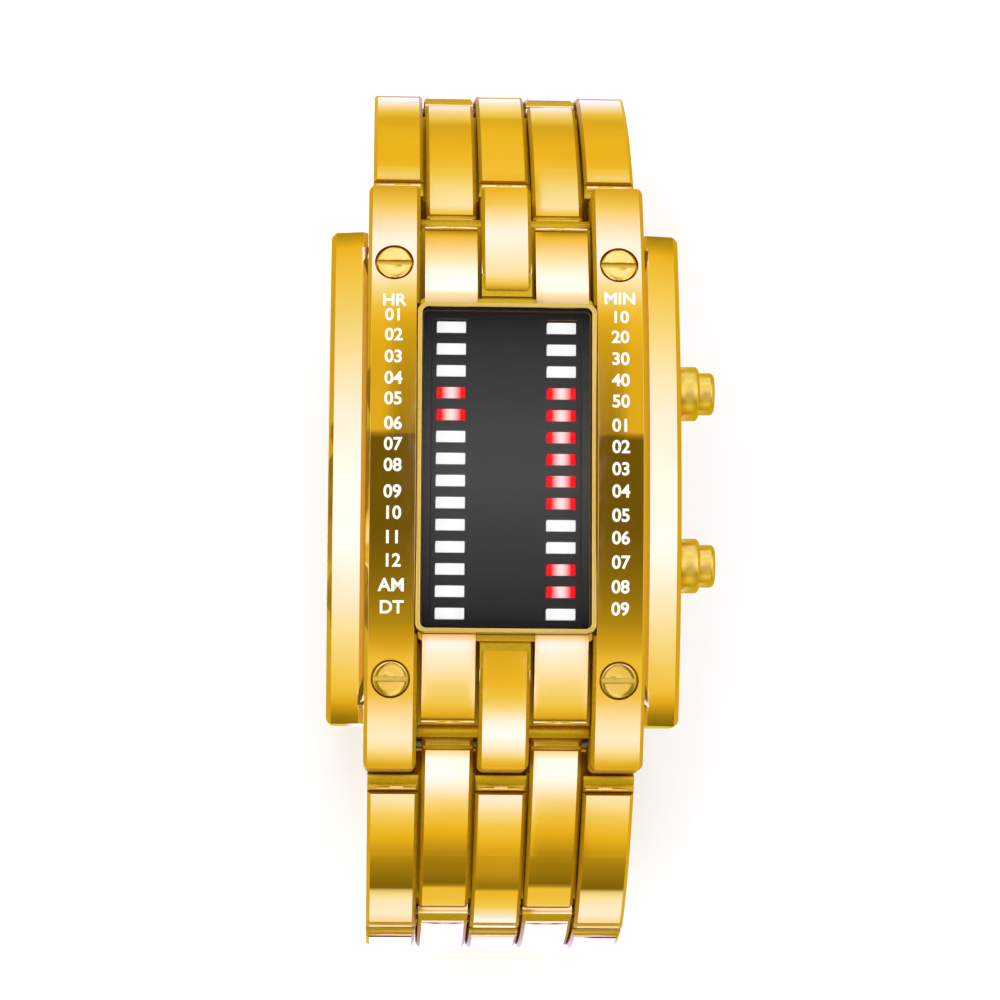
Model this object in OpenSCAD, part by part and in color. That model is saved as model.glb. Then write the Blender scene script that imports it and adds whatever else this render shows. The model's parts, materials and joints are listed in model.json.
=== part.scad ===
// Rectangular light-bar wristwatch with a five-column steel bracelet and a fold-over clasp.
// The watch lies dial up, with the bracelet closed below it and standing on the clasp.
// X points to 3 o'clock, Y to 12 o'clock and Z out of the dial.
// The origin is the middle of the watch on the flat outer face of the clasp cover.

/* [Rails and case] */
// Length of the rails from lug nose to lug nose
rail_len = 49.4; // [47:0.2:52]
// Width of each rail
rail_w = 4.35; // [4:0.05:5]
// Height of the rails' crest above the lens
rail_rise = 0.9; // [0.6:0.05:1.3]
// Radius of the lengthwise curve of the rails and the centre lugs
rail_curve = 61; // [50:1:80]
// Thickness of the rails at the seat on the case, measured down from the lens
rail_seat_depth = 4.6; // [4.4:0.05:4.8]
// Plan radius of the corners of the rails, lugs and wings
corner_r = 0.6; // [0.3:0.05:0.8]
// Width of the polished bevel along the edges of the rails
edge_bevel = 0.3; // [0.15:0.05:0.4]
// Width of each side wing of the case
wing_w = 3.1; // [2.6:0.1:3.6]
// Length of the side wings
wing_len = 41.8; // [40:0.2:44]
// Depth of the wings' crest below the lens
wing_drop = 1.9; // [1.5:0.1:2.3]
// Width of the bevel along the edges of the wings
wing_bevel = 0.4; // [0.3:0.05:0.6]
// Outward slope of the tops of the wings
wing_slope = 8.5; // [6:0.5:10]
// Depth of the underside of the case below the lens
case_depth = 8.4; // [8.2:0.1:9]
// Radius of the lengthwise curve of the shoulders beside the centre lugs
shoulder_curve = 50; // [45:1:60]
// Depth of the shoulders where they meet the display frame
shoulder_drop = 0.75; // [0.6:0.05:0.9]
// Distance of the shoulders' free ends from the middle of the watch
shoulder_reach = 20.55; // [20.2:0.05:20.7]
// Width of the grooves on both sides of a shoulder
lug_groove_w = 0.35; // [0.2:0.05:0.4]

/* [Display] */
// Width of the lens
lens_w = 14; // [13:0.1:14]
// Length of the lens
lens_len = 26.7; // [26:0.1:27]
// Thickness of the lens
lens_t = 1.2; // [0.8:0.1:1.4]
// Width of the visible lip of the display frame
frame_lip = 0.4; // [0.3:0.05:0.5]
// Number of light bars in each column
bar_count = 14; // [10:1:14]
// Distance from the end of the lens to the first light bar
bar_margin = 0.875; // [0.85:0.005:1.2]
// Width of a light bar
bar_w = 2.4; // [2:0.1:2.8]
// Height of a light bar
bar_h = 0.9; // [0.7:0.05:1.1]
// Distance of a column of light bars from the middle of the watch
bar_x = 4.6; // [4:0.1:4.8]

/* [Rail screws] */
// Diameter of the screw heads
screw_head_d = 2.9; // [2.4:0.1:3.1]
// Diameter of the screw shanks
screw_shank_d = 1.4; // [1.2:0.1:1.6]
// Distance of the screws from the middle of the watch
screw_y = 17.5; // [17.2:0.1:18]
// Width of the screwdriver slots
screw_slot = 0.38; // [0.3:0.02:0.5]

/* [Pushers] */
// Diameter of the fixed collar
collar_d = 4.6; // [4.2:0.1:4.8]
// Length of the fixed collar outside the wing
collar_len = 1.65; // [1.4:0.05:2]
// Diameter of the button
button_d = 3.6; // [3.2:0.1:3.7]
// Length of the button outside the collar
button_out = 1.35; // [1.1:0.05:1.6]
// Travel of the button
button_travel = 0.7; // [0.4:0.05:0.8]
// Distance of each pusher from the middle of the watch
pusher_y = 7.35; // [6.5:0.05:7.5]
// Depth of the pusher axis below the lens
pusher_depth = 6.1; // [6.05:0.05:6.15]
// Diameter of the pusher stem
stem_d = 1; // [0.8:0.05:1.1]

/* [Bracelet] */
// Distance between the pins of a link
link_pitch = 19.5; // [18.5:0.1:21]
// Width of one column of the bracelet
column_w = 4.3; // [4:0.05:4.3]
// Plan radius of the far corners of a column
column_corner_r = 0.5; // [0.3:0.05:0.7]
// Groove between two columns
column_gap = 0.25; // [0.15:0.01:0.3]
// Height of the crown of a link above its pin line
crown_height = 2.9; // [2.7:0.05:3.1]
// Radius of the lengthwise crown of a link
crown_curve = 36; // [32:1:45]
// Thickness of a link below its pin line
link_under = 1.5; // [1.4:0.02:1.55]
// Radius of the knuckles round the pins
knuckle_r = 1.65; // [1.6:0.01:1.7]
// Diameter of the link pins
pin_d = 1; // [0.8:0.05:1.2]
// Distance of the case pins from the middle of the watch
lug_pin_y = 22.2; // [22:0.1:22.4]
// Depth of the case pins below the lens
lug_pin_depth = 8.6; // [8.3:0.1:8.9]
// Radius of the lug noses on the case
lug_nose_r = 2.5; // [2.4:0.05:2.5]

/* [Closed loop] */
// Slope of the first link below the dial plane
slope_1 = 46; // [42:1:50]
// Slope of the second link
slope_2 = 88; // [84:1:92]
// Slope of the third link
slope_3 = 140; // [137:1:143]

/* [Clasp] */
// Outer width of the clasp cover
cover_w = 20; // [19.6:0.1:20.6]
// Thickness of the cover plate
cover_t = 1; // [0.8:0.05:1]
// Thickness of the cover's side walls
cover_wall = 1; // [0.8:0.05:1.1]
// Height of the cover's side walls
cover_h = 5; // [4.9:0.1:5.6]
// Height of the bracelet's end pins above the outer face of the cover
clasp_pin_z = 2.8; // [2.75:0.05:2.9]
// Width of the blades
blade_w = 12.8; // [12:0.1:13]
// Thickness of the blades
blade_t = 0.8; // [0.6:0.05:0.9]
// Distance of the blade hinges from the middle of the clasp
blade_hinge_y = 15.5; // [15:0.1:15.8]
// Distance between the micro-adjust holes
adjust_pitch = 2.8; // [2.4:0.1:3]

/* [Fits] */
// Radial clearance of a pin in its bore
pin_fit = 0.02; // [0.01:0.005:0.04]
// Gap between fixed pieces that seat on each other
seat_fit = 0.05; // [0.03:0.01:0.08]
// Radial gap between a knuckle and the hollow that faces it
knuckle_fit = 0.25; // [0.2:0.01:0.35]

/* [Hidden] */
$fn = 96;

overrun = 1;                    // how far a cut runs past the face that it opens
slopes = [slope_1, slope_2, slope_3];
bore_d = pin_d + 2 * pin_fit;
column_pitch = column_w + column_gap;
bracelet_w = 4 * column_pitch + column_w;

// Height of the case pins: three links lead down to the clasp
lug_pin_z = clasp_pin_z + link_pitch * (sin(slope_1) + sin(slope_2) + sin(slope_3));
lens_z = lug_pin_z + lug_pin_depth;
end_pin_y = lug_pin_y + link_pitch * (cos(slope_1) + cos(slope_2) + cos(slope_3));

// Sideways places on the watch head
tongue_gap = 0.55;              // between a link's tongue and the rail beside it
rail_x0 = column_pitch + column_w / 2 + tongue_gap;
rail_x1 = rail_x0 + rail_w;
rail_x = (rail_x0 + rail_x1) / 2;
wing_x0 = rail_x1 + seat_fit;
case_half_w = wing_x0 + wing_w;
block_half_w = rail_x0 - seat_fit;
column_lug_w = column_w - 0.1;  // the centre lug is a little narrower than its column

// Lengthwise places on the watch head
frame_len = lens_len + 2 * (frame_lip + seat_fit);
frame_w = lens_w + 2 * (frame_lip + seat_fit);
shoulder_y0 = frame_len / 2 + seat_fit;
base_half_len = lug_pin_y - lug_nose_r - 0.3;
screw_angle = asin(screw_y / rail_curve);
sunk_len = 0.7;                 // strip left free between the display frame and a centre lug

// Heights on the watch head, counted from the lens
rail_seat_z = -rail_seat_depth;
case_bottom_z = -case_depth;
back_t = 0.9;
lug_overhang_z = 2.1;           // height above the case pins where the rail ends step out
lug_groove_deep = 4.4;          // depth of the grooves beside the shoulders, below the lens
roof_t = 0.8;                   // metal left between the rail seats and the cavity
cavity_top_z = rail_seat_z - roof_t;
case_wall = 1.2;
cavity_half_w = rail_x1 - case_wall;
cavity_half_len = 14.3;
well_half_w = lens_w / 2 - 0.7; // the well under the lens keeps a ledge for it
well_half_len = lens_len / 2 - 0.7;
bar_pitch = (lens_len - 2 * bar_margin - bar_h) / (bar_count - 1);
frame_ledge_z = -lens_t - 0.2;  // the frame's own ledge under the lens gasket
gasket_t = 0.15;
mask_t = 1.7;
mask_top_z = frame_ledge_z - 0.25;
board_top_z = mask_top_z - mask_t;
board_t = 0.8;

// Solid with the given side outline, drawn as (Y, Z), and a width along X
module side_solid(width) {
  rotate([90, 0, 90]) linear_extrude(width, center = true) children();
}

// Round rod along X
module x_rod(d, len) {
  rotate([0, 90, 0]) cylinder(d = d, h = len, center = true);
}

// Rectangle with round corners
module rounded_rect(w, l, r) {
  square([w - 2 * r, l], center = true);
  square([w, l - 2 * r], center = true);
  for (x = [-1, 1], y = [-1, 1])
    translate([x * (w / 2 - r), y * (l / 2 - r)]) circle(r = r);
}

// Plate with round corners whose top lies at Z = 0
module rounded_plate(w, l, t, r) {
  translate([0, 0, -t]) linear_extrude(t) rounded_rect(w, l, r);
}

// Hoop along Y whose crest lies at Z = 0, with both top edges bevelled. Its top may slope down
// towards +X by the given drop.
module crowned_hoop(width, curve, deep, bevel, drop = 0) {
  low = curve - drop;
  translate([0, 0, -curve]) rotate([0, 90, 0]) rotate_extrude($fn = 240)
    polygon([
      [curve - deep, -width / 2], [curve - bevel, -width / 2], [curve, bevel - width / 2],
      [low, width / 2 - bevel], [low - bevel, width / 2], [curve - deep, width / 2]
    ]);
}

// Upright column that rounds the plan corners of what it cuts, from Y = y0 to y1
module plan_trim(width, y0, y1, r) {
  translate([0, (y0 + y1) / 2, rail_curve]) rounded_plate(width, y1 - y0, 2 * rail_curve, r);
}

// Places its children on the watch head, where Z = 0 is the top of the lens
module on_head() {
  translate([0, 0, lens_z]) children();
}

// Both ends of the watch head
module both_ends() {
  children();
  mirror([0, 1, 0]) children();
}

// Side outline of a rail, or of a centre lug, with the nose round the case pin. Its end hangs
// over the nose, so that the first link's lip tucks under it when the bracelet is straight.
module lug_side(inner_y, top_z) {
  neck = sqrt(pow(lug_nose_r, 2) - pow(lug_overhang_z, 2));
  translate([inner_y, rail_seat_z]) square([rail_len / 2 - inner_y, top_z - rail_seat_z]);
  translate([base_half_len, -lug_pin_depth])
    square([lug_pin_y + neck - base_half_len, lug_pin_depth + rail_seat_z + overrun]);
  translate([base_half_len, lug_overhang_z - lug_pin_depth])
    square([rail_len / 2 - base_half_len, lug_pin_depth + rail_seat_z + overrun - lug_overhang_z]);
  translate([lug_pin_y, -lug_pin_depth]) circle(r = lug_nose_r);
}

// Bores for the two case pins
module case_pin_bores() {
  both_ends() translate([0, lug_pin_y, -lug_pin_depth]) x_rod(bore_d, 2 * case_half_w);
}

// Crowned lug in line with the middle column, with a small roll across its inner end
module centre_lug() {
  lug_y0 = shoulder_y0 + sunk_len;
  roll_r = 0.28;
  roll_z = -1.45;
  roll_gap = 0.02;
  roll_base_len = 2;
  face_y0 = lug_y0 + 2 * roll_r + roll_gap;
  intersection() {
    translate([0, 0, rail_rise]) crowned_hoop(column_lug_w, rail_curve, 16, edge_bevel);
    plan_trim(column_lug_w, face_y0, rail_len / 2, corner_r);
    side_solid(column_lug_w) lug_side(face_y0, rail_rise);
  }
  intersection() {
    plan_trim(column_lug_w, lug_y0, rail_len / 2, corner_r / 2);
    side_solid(column_lug_w - 2 * seat_fit) {
      translate([lug_y0 + roll_r, roll_z]) circle(r = roll_r);
      translate([lug_y0, rail_seat_z]) square([roll_base_len, roll_z - rail_seat_z]);
    }
  }
}

// The two sloping shoulders of one end, made as one bar that the centre lug crosses. Past the
// free end of their face come a thin lip and, lower down, a roll in front of the first link.
module shoulder_bar() {
  under_z = -6.2;
  lip_r = 0.2;
  roll_r = 0.55;
  roll_z = -5.3;
  sunk_deep = 1.6;
  groove_len = 10;              // past the free end of the bar
  lip_y = shoulder_reach + 1.4 * lip_r;
  roll_y = lip_y + lip_r + 0.75 * roll_r;
  crest = -shoulder_drop + shoulder_curve - sqrt(pow(shoulder_curve, 2) - pow(shoulder_y0, 2));
  face_end_z = crest - shoulder_curve + sqrt(pow(shoulder_curve, 2) - pow(shoulder_reach, 2));
  lip_z = face_end_z - 1.2 * lip_r;
  difference() {
    union() {
      intersection() {
        translate([0, 0, crest]) crowned_hoop(2 * block_half_w, shoulder_curve, 14, edge_bevel);
        side_solid(2 * block_half_w) translate([shoulder_y0, under_z])
          square([shoulder_reach - shoulder_y0, crest - under_z]);
      }
      side_solid(2 * (block_half_w - seat_fit)) {
        translate([shoulder_y0, under_z]) square([lip_y + lip_r - shoulder_y0, lip_z - under_z]);
        translate([lip_y, lip_z]) circle(r = lip_r);
        translate([shoulder_y0, under_z]) square([roll_y - shoulder_y0, roll_z - under_z]);
        translate([roll_y, roll_z]) circle(r = roll_r);
      }
    }
    // sunk strip between the display frame and the centre lug
    translate([0, shoulder_y0, 0]) cube([column_lug_w, 2 * sunk_len, 2 * sunk_deep],
      center = true);
    // grooves beside the centre lug and beside the rails
    translate([0, shoulder_y0 + groove_len / 2, 0]) for (side = [-1, 1]) {
      translate([side * (column_lug_w + lug_groove_w) / 2, 0, 0])
        cube([lug_groove_w, groove_len, 2 * lug_groove_deep], center = true);
      translate([side * block_half_w, 0, 0])
        cube([2 * lug_groove_w, groove_len, 2 * lug_groove_deep], center = true);
    }
  }
}

module wing() {
  under_bevel = 0.8;
  intersection() {
    translate([wing_x0 + wing_w / 2, 0, -wing_drop])
      crowned_hoop(wing_w, rail_curve, 12, wing_bevel, wing_w * tan(wing_slope));
    plan_trim(2 * case_half_w, -wing_len / 2, wing_len / 2, corner_r);
    rotate([90, 0, 0]) linear_extrude(wing_len, center = true) polygon([
      [wing_x0, 0], [case_half_w, 0], [case_half_w, case_bottom_z + under_bevel],
      [case_half_w - under_bevel, case_bottom_z], [wing_x0, case_bottom_z]
    ]);
  }
  // web that joins the wing to the middle of the case, under the rail
  translate([wing_x0 - 0.5, -base_half_len, case_bottom_z])
    cube([1, 2 * base_half_len, rail_seat_z - case_bottom_z - 0.1]);
}

module case_body() {
  color("gold") on_head() difference() {
    union() {
      // base under the rails
      translate([0, 0, rail_seat_z])
        rounded_plate(2 * rail_x1, 2 * base_half_len, rail_seat_z - case_bottom_z, 0.4);
      // block round the display well
      translate([0, 0, -lens_t])
        rounded_plate(2 * block_half_w, 2 * shoulder_y0 + 1, case_depth - lens_t, 0.4);
      both_ends() shoulder_bar();
      both_ends() centre_lug();
      for (side = [0, 1]) mirror([side, 0, 0]) wing();
    }
    // cavity for the module and the coin cell
    translate([0, 0, cavity_top_z])
      rounded_plate(2 * cavity_half_w, 2 * cavity_half_len, cavity_top_z - case_bottom_z + overrun, 2);
    // well under the lens
    translate([0, 0, overrun])
      rounded_plate(2 * well_half_w, 2 * well_half_len, overrun - cavity_top_z + 0.1, 0.5);
    // seat of the display frame, open at the top
    translate([0, 0, overrun])
      rounded_plate(2 * rail_x1 - 4, frame_len + 2 * seat_fit, overrun - frame_ledge_z + 0.35, 0.1);
    case_pin_bores();
    // room for the tongues of the first links
    both_ends() translate([0, lug_pin_y, -lug_pin_depth])
      for (x = [-1, 1]) translate([x * column_pitch, 0, 0])
        x_rod(2 * (knuckle_r + knuckle_fit), column_w + 2 * column_gap);
    rail_screw_places() cylinder(d = screw_shank_d + 2 * pin_fit, h = 14, center = true);
    case_back_screw_places() cylinder(d = back_screw_d + 2 * pin_fit, h = 2 * back_screw_len + 0.4,
      center = true);
    pusher_places() rotate([0, 90, 0]) {
      translate([0, 0, -tube_neck_len]) cylinder(d = tube_neck_d + 2 * pin_fit, h = 10);
      translate([0, 0, -8]) cylinder(d = stem_d + 4 * pin_fit, h = 8);
    }
    // groove for the case-back gasket
    translate([0, 0, case_bottom_z + back_gasket_t]) difference() {
      rounded_plate(back_gasket_w + 2 * pin_fit, back_gasket_l + 2 * pin_fit, 2 * back_gasket_t, 2.4);
      rounded_plate(back_gasket_w - 2 * back_gasket_rim, back_gasket_l - 2 * back_gasket_rim,
        2 * back_gasket_t, 2);
    }
  }
}

// Rail at +X, with the seats of its two screws and a notch for the display frame
module rail() {
  notch_x1 = max(frame_w / 2 + seat_fit, rail_x0);
  difference() {
    intersection() {
      translate([rail_x, 0, rail_rise]) crowned_hoop(rail_w, rail_curve, 16, edge_bevel);
      translate([rail_x, 0, 0]) plan_trim(rail_w, -rail_len / 2, rail_len / 2, corner_r);
      translate([rail_x, 0, 0]) side_solid(rail_w) {
        lug_side(0, rail_rise);
        mirror([1, 0]) lug_side(0, rail_rise);
      }
    }
    translate([0, -frame_len / 2 - seat_fit, frame_ledge_z - 1])
      cube([notch_x1, frame_len + 2 * seat_fit, 4]);
    translate([0, -rail_len, -rail_len]) cube([rail_x0, 2 * rail_len, 2]);
    case_pin_bores();
    rail_screw_places() {
      cylinder(d = screw_shank_d + 4 * pin_fit, h = 14, center = true);
      translate([0, 0, -screw_head_t - seat_fit])
        cylinder(d = screw_head_d + 0.35, h = screw_head_t + overrun);
    }
  }
}

module minute_rail() {
  color("gold") on_head() rail();
}

module hour_rail() {
  color("gold") on_head() mirror([1, 0, 0]) rail();
}

// Screws that hold the rails, square to the curved rails
screw_head_t = 0.7;
screw_len = 5;

module rail_screw_places() {
  for (x = [-1, 1], y = [-1, 1])
    translate([x * rail_x, 0, rail_rise - rail_curve]) rotate([-y * screw_angle, 0, 0])
      translate([0, 0, rail_curve]) children();
}

module rail_screws() {
  color("goldenrod") on_head() rail_screw_places() difference() {
    union() {
      translate([0, 0, -screw_head_t]) rotate_extrude() polygon([
        [0, 0], [screw_head_d / 2, 0], [screw_head_d / 2, screw_head_t - 0.15],
        [screw_head_d / 2 - 0.2, screw_head_t], [0, screw_head_t]
      ]);
      translate([0, 0, -screw_len]) cylinder(d = screw_shank_d, h = screw_len - screw_head_t + 0.1);
    }
    translate([0, 0, overrun - 0.35]) cube([screw_head_d + 1, screw_slot, 2 * overrun], center = true);
  }
}

module case_link_pins() {
  color("silver") on_head() both_ends() translate([0, lug_pin_y, -lug_pin_depth])
    x_rod(pin_d, 2 * rail_x1 - 0.2);
}

module display_frame() {
  color("gold") on_head() difference() {
    translate([0, 0, 0.15]) rounded_plate(frame_w, frame_len, 0.15 - frame_ledge_z + 0.3, 0.8);
    translate([0, 0, overrun])
      rounded_plate(lens_w + 2 * seat_fit, lens_len + 2 * seat_fit, overrun + lens_t + gasket_t, 0.5);
    translate([0, 0, overrun]) rounded_plate(2 * well_half_w, 2 * well_half_len, 5, 0.5);
  }
}

module display_lens() {
  color("dimgray") on_head() rounded_plate(lens_w, lens_len, lens_t, 0.45);
}

module lens_gasket() {
  color("black") on_head() translate([0, 0, -lens_t]) difference() {
    rounded_plate(lens_w - 0.1, lens_len - 0.1, gasket_t, 0.4);
    translate([0, 0, overrun]) rounded_plate(2 * well_half_w, 2 * well_half_len, 3, 0.5);
  }
}

// Places of the light bars of one column
module bar_places() {
  for (i = [0 : bar_count - 1])
    translate([0, ((bar_count - 1) / 2 - i) * bar_pitch, 0]) children();
}

module light_mask() {
  color("black") on_head() difference() {
    translate([0, 0, mask_top_z])
      rounded_plate(2 * (well_half_w - seat_fit), 2 * (well_half_len - seat_fit), mask_t, 0.5);
    for (x = [-bar_x, bar_x]) translate([x, 0, mask_top_z])
      bar_places() cube([bar_w + 2 * seat_fit, bar_h + 2 * seat_fit, 4 * mask_t], center = true);
  }
}

// One column of light bars: each is a block of clear resin over its chip
module light_column() {
  translate([0, 0, board_top_z]) bar_places() translate([-bar_w / 2, -bar_h / 2, 0])
    cube([bar_w, bar_h, mask_t + 0.1]);
}

module hour_lights() {
  color("white") on_head() translate([-bar_x, 0, 0]) light_column();
}

module minute_lights() {
  color("white") on_head() translate([bar_x, 0, 0]) light_column();
}

module circuit_board() {
  color("darkgreen") on_head() {
    translate([0, 0, board_top_z])
      rounded_plate(2 * (well_half_w - 0.1), 2 * (well_half_len - 0.1), board_t, 0.5);
    translate([0, 4, board_top_z - board_t]) cube([5, 5, 2 * 0.45], center = true);
    translate([0, -5, board_top_z - board_t]) cube([3, 1.4, 2 * 0.5], center = true);
  }
}

// Plastic carrier that locates the board, the cell and the switch contacts
cell_d = 20;
cell_t = 1.6;
cell_top_z = case_bottom_z + 0.15 + cell_t;
holder_half_w = cavity_half_w - 3.2;

module module_holder() {
  holder_bottom_z = cell_top_z + 0.05;
  board_bottom_z = board_top_z - board_t;
  color("ivory") on_head() difference() {
    union() {
      translate([0, 0, cavity_top_z - seat_fit])
        rounded_plate(2 * holder_half_w, 2 * cavity_half_len - 0.4,
          cavity_top_z - seat_fit - holder_bottom_z, 1);
      translate([0, 0, board_bottom_z - seat_fit])
        rounded_plate(2 * (well_half_w - 0.1), 2 * (well_half_len - 0.1),
          board_bottom_z - seat_fit - holder_bottom_z, 0.5);
    }
    // pocket for the chips under the board
    translate([0, 0, board_bottom_z]) cube([6, 16, 2 * 0.8], center = true);
  }
}

module coin_cell() {
  color("silver") on_head() translate([0, 0, cell_top_z - cell_t]) {
    cylinder(d = cell_d, h = cell_t - 0.2);
    cylinder(d = cell_d - 2, h = cell_t);
  }
}

// Thin spring strip between the cell and the case back
module cell_clip() {
  clip_w = cell_d / 5;
  strip_t = 0.08;
  color("silver") on_head() translate([0, 0, case_bottom_z + 0.1])
    rounded_plate(clip_w, 2 * cavity_half_len - 1, strip_t, 0.5);
}

// Bent strips on the holder that the pusher stems press
module switch_contacts() {
  strip_t = 0.15;
  strip_w = 2 * stem_d;
  strip_x = holder_half_w + seat_fit;
  reach = 1.1;                  // from the holder to the strip that a stem meets
  foot_z = -pusher_depth - 0.35;
  color("silver") on_head() for (y = [-1, 1]) translate([strip_x, y * pusher_y - strip_w / 2, foot_z]) {
    cube([strip_t, strip_w, stem_d]);
    cube([reach, strip_w, strip_t]);
    translate([reach - strip_t, 0, 0]) cube([strip_t, strip_w, stem_d - strip_t]);
  }
}

// Case back, with its gasket and four countersunk screws
back_screw_d = 1;
back_screw_len = 1.4;
back_screw_head_d = 1.9;
back_screw_head_t = 0.5;
back_gasket_t = 0.5;
back_gasket_rim = 0.5;
back_field_rim = 3.4;           // rim round the recessed field of the case back
back_gasket_w = 2 * cavity_half_w + 1.4;
back_gasket_l = 2 * cavity_half_len + 1.4;

module case_back_screw_places() {
  for (x = [-1, 1], y = [-1, 1])
    translate([x * (rail_x1 - 1.8), y * (base_half_len - 1.9), case_bottom_z]) children();
}

module case_back() {
  field_w = 2 * (rail_x1 - back_field_rim);
  field_len = 2 * (base_half_len - back_field_rim - 0.1);
  color("silver") on_head() difference() {
    translate([0, 0, case_bottom_z])
      rounded_plate(2 * rail_x1 - 0.6, 2 * base_half_len - 0.8, back_t, 2);
    // recessed field that faces the wrist
    translate([0, 0, case_bottom_z - back_t + 0.15])
      rounded_plate(field_w, field_len, 0.15 + overrun, 1.5);
    case_back_screw_places() {
      cylinder(d = back_screw_d + 4 * pin_fit, h = 4, center = true);
      translate([0, 0, -back_t - overrun])
        cylinder(d = back_screw_head_d + 0.1, h = overrun + back_screw_head_t + seat_fit);
    }
  }
}

module case_back_gasket() {
  color("black") on_head() translate([0, 0, case_bottom_z + back_gasket_t - pin_fit]) difference() {
    rounded_plate(back_gasket_w - 2 * pin_fit, back_gasket_l - 2 * pin_fit, back_gasket_t - pin_fit, 2.3);
    translate([0, 0, overrun]) rounded_plate(back_gasket_w - 2 * back_gasket_rim + 4 * pin_fit,
      back_gasket_l - 2 * back_gasket_rim + 4 * pin_fit, 3, 2.1);
  }
}

module case_back_screws() {
  color("silver") on_head() case_back_screw_places() difference() {
    union() {
      translate([0, 0, -back_t]) cylinder(d = back_screw_head_d, h = back_screw_head_t);
      translate([0, 0, -back_t]) cylinder(d = back_screw_d, h = back_t + back_screw_len);
    }
    translate([0, 0, -back_t]) cube([3, 0.3, 0.4], center = true);
  }
}

// Pushers: a tube pressed into the wing, and a button with its stem that slides in it
tube_neck_d = 3;
tube_neck_len = 2.4;
tube_floor = 0.35;
seal_groove_r = 0.95;
seal_groove_len = 0.6;
seal_z = -1.2;                  // middle of the seal, counted from the outside of the wing
button_fit = 0.05;
button_len = collar_len - tube_floor - button_travel - 0.1 + button_out;
button_x0 = collar_len + button_out - button_len;
stem_inside = 0.95;             // length of stem that stands in the case cavity
stem_reach = case_half_w - cavity_half_w + stem_inside;
recess_d = 2.6;
recess_len = 1.1;
clip_t = 0.25;

module pusher_places() {
  for (y = [-1, 1]) translate([case_half_w, y * pusher_y, -pusher_depth]) children();
}

module at_pusher(y) {
  on_head() translate([case_half_w, y * pusher_y, -pusher_depth]) rotate([0, 90, 0]) children();
}

module pusher_tube() {
  bore_r = button_d / 2 + button_fit;
  rotate_extrude() difference() {
    union() {
      translate([0, -tube_neck_len]) square([tube_neck_d / 2, tube_neck_len + 0.1]);
      polygon([
        [0, 0], [collar_d / 2, 0], [collar_d / 2, collar_len - 0.2],
        [collar_d / 2 - 0.2, collar_len], [0, collar_len]
      ]);
    }
    translate([0, -overrun - tube_neck_len])
      square([stem_d / 2 + button_fit, 4 * overrun + tube_neck_len]);
    translate([0, tube_floor]) square([bore_r, collar_len]);
    // groove for the seal
    translate([0, seal_z - seal_groove_len / 2]) square([seal_groove_r, seal_groove_len]);
  }
}

module pusher_tubes() {
  color("gold") for (y = [-1, 1]) at_pusher(y) pusher_tube();
}

module pusher_seals() {
  ring_r = (seal_groove_r - stem_d / 2) / 2 - 0.025;
  color("black") for (y = [-1, 1]) at_pusher(y) translate([0, 0, seal_z])
    rotate_extrude() translate([(stem_d / 2 + seal_groove_r) / 2, 0]) circle(r = ring_r);
}

module pusher() {
  rotate_extrude() difference() {
    union() {
      translate([0, button_x0]) square([button_d / 2, button_len - 0.4]);
      translate([0, button_x0]) square([button_d / 2 - 0.4, button_len]);
      translate([button_d / 2 - 0.4, button_x0 + button_len - 0.4]) circle(r = 0.4);
      translate([0, -stem_reach]) square([stem_d / 2, stem_reach + button_x0 + 0.5]);
    }
    translate([stem_d / 2, button_x0 - overrun])
      square([(recess_d - stem_d) / 2, recess_len + overrun]);
    // groove that holds the clip
    translate([stem_d / 2 - 0.15, clip_place]) square([1, clip_t]);
    // keeps the outline on one side of its axis
    translate([-2 * button_d, -20]) square([2 * button_d, 40]);
  }
}

clip_place = -(case_half_w - cavity_half_w) - clip_t - 0.05;

module pusher_clip() {
  clip_d = 2.2;
  clip_flat = pusher_depth + cavity_top_z - seat_fit;
  translate([0, 0, clip_place + 0.02]) difference() {
    cylinder(d = clip_d, h = clip_t - 0.04);
    // flat towards the roof of the cavity
    translate([-clip_flat - clip_d, -clip_d, -overrun]) cube([clip_d, 2 * clip_d, 4 * overrun]);
    translate([0, 0, -overrun]) cylinder(d = stem_d - 0.3 + 0.06, h = 4 * overrun);
    translate([0, -(stem_d - 0.24) / 2, -overrun]) cube([4, stem_d - 0.24, 4 * overrun]);
  }
}

// Coil spring between the tube floor and the recess of the button
spring_wire = 0.2;
spring_r = (stem_d + recess_d) / 4;
spring_turns = 4;
spring_steps = 12;              // points in each turn
spring_z0 = tube_floor + spring_wire / 2 + 0.02;
spring_z1 = button_x0 + recess_len - spring_wire / 2 - 0.02;

function spring_point(i) = let (n = spring_turns * spring_steps, a = 360 * i / spring_steps)
  [spring_r * cos(a), spring_r * sin(a), spring_z0 + (spring_z1 - spring_z0) * i / n];

module pusher_spring() {
  n = spring_turns * spring_steps;
  sides = 6;
  ring = [
    for (i = [0 : n]) let (p = spring_point(i), a = 360 * i / spring_steps)
      for (k = [0 : sides - 1]) let (b = 360 * k / sides)
        p + spring_wire / 2 * [cos(b) * cos(a), cos(b) * sin(a), sin(b)]
  ];
  faces = [
    [for (k = [0 : sides - 1]) k],
    [for (k = [sides - 1 : -1 : 0]) n * sides + k],
    for (i = [0 : n - 1], k = [0 : sides - 1]) let (j = (k + 1) % sides)
      [i * sides + k, (i + 1) * sides + k, (i + 1) * sides + j],
    for (i = [0 : n - 1], k = [0 : sides - 1]) let (j = (k + 1) % sides)
      [i * sides + k, (i + 1) * sides + j, i * sides + j]
  ];
  polyhedron(ring, faces);
}

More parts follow.
